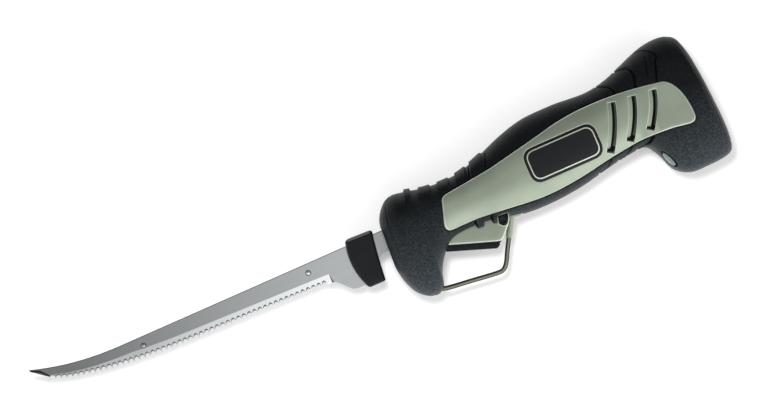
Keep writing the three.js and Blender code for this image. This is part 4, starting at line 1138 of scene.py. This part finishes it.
# Fades: axis, where the color is plain, where it is scaled, scale
# Painted shade: the blade steel darkens to 0.44 of its colour towards the point
TIP_PAINTED_SHADE = ("X", -0.03, -0.2, 0.44)
TANG_FADE = ("X", -0.004, 0.002, 0.74)
# Painted light: the grip rubber grows up to 11 times lighter towards the belly, standing in for the light on its
# lower side
LOWER_SIDE_PAINTED_LIGHT = ("Y", 0.014, -0.034, 11.0)
LOOKS = {
    "grip_rubber": rubber("pebbled rubber", (0.0033, 0.0040, 0.0045), 0.6, 0.0011, [LOWER_SIDE_PAINTED_LIGHT]),
    "dark_rubber": rubber("smooth rubber", (0.0125, 0.0136, 0.0150), 0.4, 0.0007),
    "black_plastic": plastic("black moulding", (0.0085, 0.0094, 0.0104), 0.34, gloss=0.22),
    "housing_plastic": plastic("housing moulding", (0.024, 0.026, 0.028), 0.5),
    "sage_paint": painted("sage paint", (0.38, 0.44, 0.345)),
    "blade_steel": steel("ground steel", (0.88, 0.915, 0.93), 0.2, LENGTHWISE, [TIP_PAINTED_SHADE, TANG_FADE]),
    "drive_steel": steel("plain steel", (0.45, 0.46, 0.47), 0.36, LENGTHWISE),
    "gear_frame_alloy": steel("cast alloy", (0.5, 0.51, 0.52), 0.5, (300.0, 300.0, 300.0)),
    "guard_nickel": steel("satin nickel", (0.25, 0.25, 0.195), 0.45, LENGTHWISE, metallic=0.7),
    "nylon": plastic("natural nylon", (0.68, 0.66, 0.58), 0.45),
    "brass": steel("turned brass", (0.60, 0.44, 0.17), 0.3, CROSSWISE),
    "winding": steel("copper winding", (0.56, 0.24, 0.12), 0.4, CROSSWISE),
    "lens": clear_plastic("indicator lens", (0.24, 0.33, 0.335)),
    "board": plastic("circuit board", (0.03, 0.11, 0.05), 0.4),
    "cell_wrap": plastic("cell wrap", (0.08, 0.16, 0.28), 0.3),
    "lead_red": plastic("red insulation", (0.32, 0.03, 0.025), 0.45),
    "lead_black": plastic("black insulation", (0.012, 0.012, 0.013), 0.45),
}
# Pale sage: a painted highlight along the rims of the panels and the trigger, and the pale line inset in the badge
PALE_TRIM_AND_HIGHLIGHT = painted("pale sage trim and painted edge highlight", (0.66, 0.72, 0.62))
# Painted shade: darker sage for the sunk louvre vanes
RECESS_SHADE = painted("sage paint darkened as painted shade in the recess", (0.31, 0.37, 0.285))
# Painted shade: dark green for the louvre walls
SHADED = plastic("sage paint darkened as painted shade on the wall", (0.045, 0.058, 0.042), 0.6)
# Black for real gaps and the lens rim, and painted shade in grooves, louvre slits and the louvres' lower ends
BLACK_GAP_AND_SHADE = plastic("black gap and painted shade", (0.0025, 0.0026, 0.0027), 0.7, gloss=0.1)
# Painted shade: dark steel for the point, the heel's run-out, the spine's chamfer and round the rivet heads
DARK_STEEL_SHADE = steel("steel darkened as painted shade", (0.09, 0.092, 0.095), 0.35, LENGTHWISE)
# Painted shade: dark steel over the gullets of the teeth
GULLET_SHADE = steel("steel darkened as painted shade in the gullets", (0.13, 0.133, 0.136), 0.3, CROSSWISE)
# Painted shade: a black line along the point
POINT_LINE_SHADE = steel("black line along the point", (0.018, 0.018, 0.019), 0.45, LENGTHWISE)
# Painted shade: dark nickel on the guard wire's sides
WIRE_PAINTED_SHADE = steel("nickel darkened as painted shade", (0.065, 0.065, 0.05), 0.5, LENGTHWISE, metallic=0.7)
# Painted highlight: lighter black for the collar's top rim
TOP_EDGE_HIGHLIGHT = plastic("black moulding scuffed at the edge", (0.075, 0.08, 0.085), 0.4)

slot_of = {part["node"]: part["material_slot"] for part in frame["record"]["subparts"]}
for node, made in frame["nodes"].items():
    made.data.materials.clear()
    made.data.materials.append(LOOKS[slot_of[node]])


def placed(name, data):
    made = bpy.data.objects.new(name, data)
    bpy.context.scene.collection.objects.link(made)
    return made


def show(name, shape, body, node, slot, sharp=40, more=()):
    """Make the shape a piece in place of a solid; `more` holds its materials from finish 1 on."""
    mesh = bpy.data.meshes.new(name)
    mesh.from_pydata((np.vstack(shape.points) * MM + ORIGIN).tolist(), [], shape.faces)
    for material in (LOOKS[slot], *more):
        mesh.materials.append(material)
    mesh.polygons.foreach_set("material_index", shape.finishes)
    work = bmesh.new()
    work.from_mesh(mesh)
    bmesh.ops.remove_doubles(work, verts=work.verts, dist=2e-6)
    bmesh.ops.dissolve_degenerate(work, edges=work.edges, dist=1e-7)
    bmesh.ops.recalc_face_normals(work, faces=work.faces)
    work.to_mesh(mesh)
    work.free()
    mesh.shade_smooth()
    mesh.set_sharp_from_angle(angle=math.radians(sharp))
    made = placed(name, mesh)
    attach(made, body)
    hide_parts(node)


def show_both(name, shapes, body, node, slot, sharp, more):
    """A piece on either side, from shapes drawn on the left; {} in `body` stands for the side."""
    for side, shape in (("left", shapes[0]), ("right", shapes[1].mirrored())):
        show(f"{name}_{side}", shape, body.format(side), f"{side}_{node}", slot, sharp, more)


grips = [grip_shape(wells=False), grip_shape(wells=True)]
show_both("grip_skin", grips, "handle", "grip", "grip_rubber", 50, [BLACK_GAP_AND_SHADE])
sage_looks = [PALE_TRIM_AND_HIGHLIGHT, BLACK_GAP_AND_SHADE, SHADED, RECESS_SHADE]
show_both("panel_cover", [panel_shape()] * 2, "handle", "panel", "sage_paint", 50, sage_looks)
show_both("blank_badge", [badge_shape()] * 2, "handle", "badge", "black_plastic", 40, [PALE_TRIM_AND_HIGHLIGHT])
show_both("lens_dome", [lens_shape()] * 2, "handle", "indicator_lens", "lens", 40, [BLACK_GAP_AND_SHADE])
blades = [blade_shape(slot_half) for slot_half in RIVET_SLOT_REACH]
painted_shades = [DARK_STEEL_SHADE, GULLET_SHADE, POINT_LINE_SHADE]
show_both("serrated_blade", blades, "{}_blade_unit", "blade", "blade_steel", 5, painted_shades)
show_both("blade_collar", [collar_shape()] * 2, "{}_blade_unit", "collar", "black_plastic", 40, [TOP_EDGE_HIGHLIGHT])
for node, x in RIVETS.items():
    show(f"{node}_head", rivet_shape(x), "left_blade_unit", node, "blade_steel", 40, [DARK_STEEL_SHADE])
show("trigger_wedge", trigger_shape(), "trigger_lever", "trigger", "sage_paint", 40, sage_looks[:2])
show("trigger_rubber", pad_shape(), "trigger_lever", "trigger_pad", "dark_rubber")
show("lock_plunger", lock_shape(), "lock", "lock_button", "black_plastic")
show("guard_bow", guard_shape(), "handle", "guard_wire", "guard_nickel", 40, [WIRE_PAINTED_SHADE])
show("guard_sleeve", socket_shape(), "handle", "guard_socket", "sage_paint")


# Stage
def floor_material():
    """Pale floor that takes the shadow; seen directly or in a gloss it is nearly white."""
    paint = Paint("pale floor", Roughness=0.9, Specular_IOR_Level=0.1)
    paint.tint(paint.noise(3.0), (1.0, 1.0, 1.0), [(0.3, 0.88), (0.7, 0.9)])
    path = paint.node("ShaderNodeLightPath").outputs
    seen = paint.mix(path["Is Camera Ray"], path["Is Glossy Ray"], 1.0)
    seen = paint.mix(seen, path["Is Transmission Ray"], FLOOR_WHITE)
    white = paint.node("ShaderNodeEmission", {"Strength": seen}).outputs["Emission"]
    both = paint.node("ShaderNodeAddShader", {0: paint.shader.outputs["BSDF"], 1: white})
    paint.tree.links.new(both.outputs["Shader"], paint.tree.nodes["Material Output"].inputs["Surface"])
    return paint.material


def floor():
    mesh = bpy.data.meshes.new("floor")
    corners = [(x * FLOOR_HALF, y * FLOOR_HALF, FLOOR_LEVEL) for x, y in SQUARE]
    mesh.from_pydata(corners, [], [(0, 1, 2, 3)])
    mesh.materials.append(floor_material())
    made = placed("floor", mesh)


IMAGE_UP = Vector((math.sin(TURN), math.cos(TURN), 0))
IMAGE_RIGHT = Vector((math.cos(TURN), -math.sin(TURN), 0))


def lamp():
    light = bpy.data.lights.new("key", "AREA")
    light.shape = "DISK"
    light.size = 0.28
    light.energy = 16.0
    made = placed("key", light)
    place = IMAGE_UP * 0.28 + IMAGE_RIGHT * -0.12 + Vector((0, 0, 1.7))
    aim = Vector((0, 0, 0.02))
    made.location = place
    made.rotation_euler = (aim - place).to_track_quat("-Z", "Y").to_euler()
    made.visible_glossy = False


def sky():
    """Studio light, brighter from the picture's lower side, with a darker strip left of overhead."""
    world = bpy.data.worlds.new("studio")
    bpy.context.scene.world = world
    world.use_nodes = True
    nodes = Nodes(world.node_tree)
    where = nodes.node("ShaderNodeTexCoord").outputs["Generated"]

    def across(direction, levels):
        """Levels of light by the cosine of the angle to a direction."""
        cosine = nodes.node("ShaderNodeVectorMath", {0: where, 1: direction}, operation="DOT_PRODUCT")
        place = nodes.node("ShaderNodeMapRange", {"Value": cosine.outputs["Value"], "From Min": -1.0})
        stops = [((at + 1) / 2, (level, level, level)) for at, level in levels]
        return nodes.ramp(place.outputs["Result"], stops)

    lower = [(-1.0, 0.6), (-0.92, 0.3), (-0.7, 0.2), (-0.3, 0.3), (0.0, 0.5), (0.2, 0.85), (0.36, 1.0)]
    sideways = [(-1.0, 1.0), (-0.6, 0.95), (-0.36, 0.6), (-0.1, 0.55), (0.06, 1.0), (0.3, 1.3)]
    down, right = across(-IMAGE_UP, lower), across(IMAGE_RIGHT, sideways)
    both = nodes.node("ShaderNodeVectorMath", {0: down, 1: right}, operation="MULTIPLY")
    background = nodes.tree.nodes["Background"]
    background.inputs["Strength"].default_value = SKY_STRENGTH
    nodes.tree.links.new(both.outputs["Vector"], background.inputs["Color"])


def camera():
    data = bpy.data.cameras.new("camera")
    data.lens = FOCAL_LENGTH
    made = placed("camera", data)
    distance = VIEW_WIDTH * MM * FOCAL_LENGTH / data.sensor_width
    aim = Vector(np.array([*VIEW_MIDDLE, 0.0]) * MM + ORIGIN)
    made.location = aim + Vector((0, 0, distance))
    made.rotation_mode = "QUATERNION"
    turn = Matrix((IMAGE_RIGHT, IMAGE_UP, Vector((0, 0, 1)))).transposed()
    made.rotation_quaternion = turn.to_quaternion()
    bpy.context.scene.camera = made


floor()
sky()
lamp()
camera()
bpy.context.scene.view_settings.view_transform = "Standard"
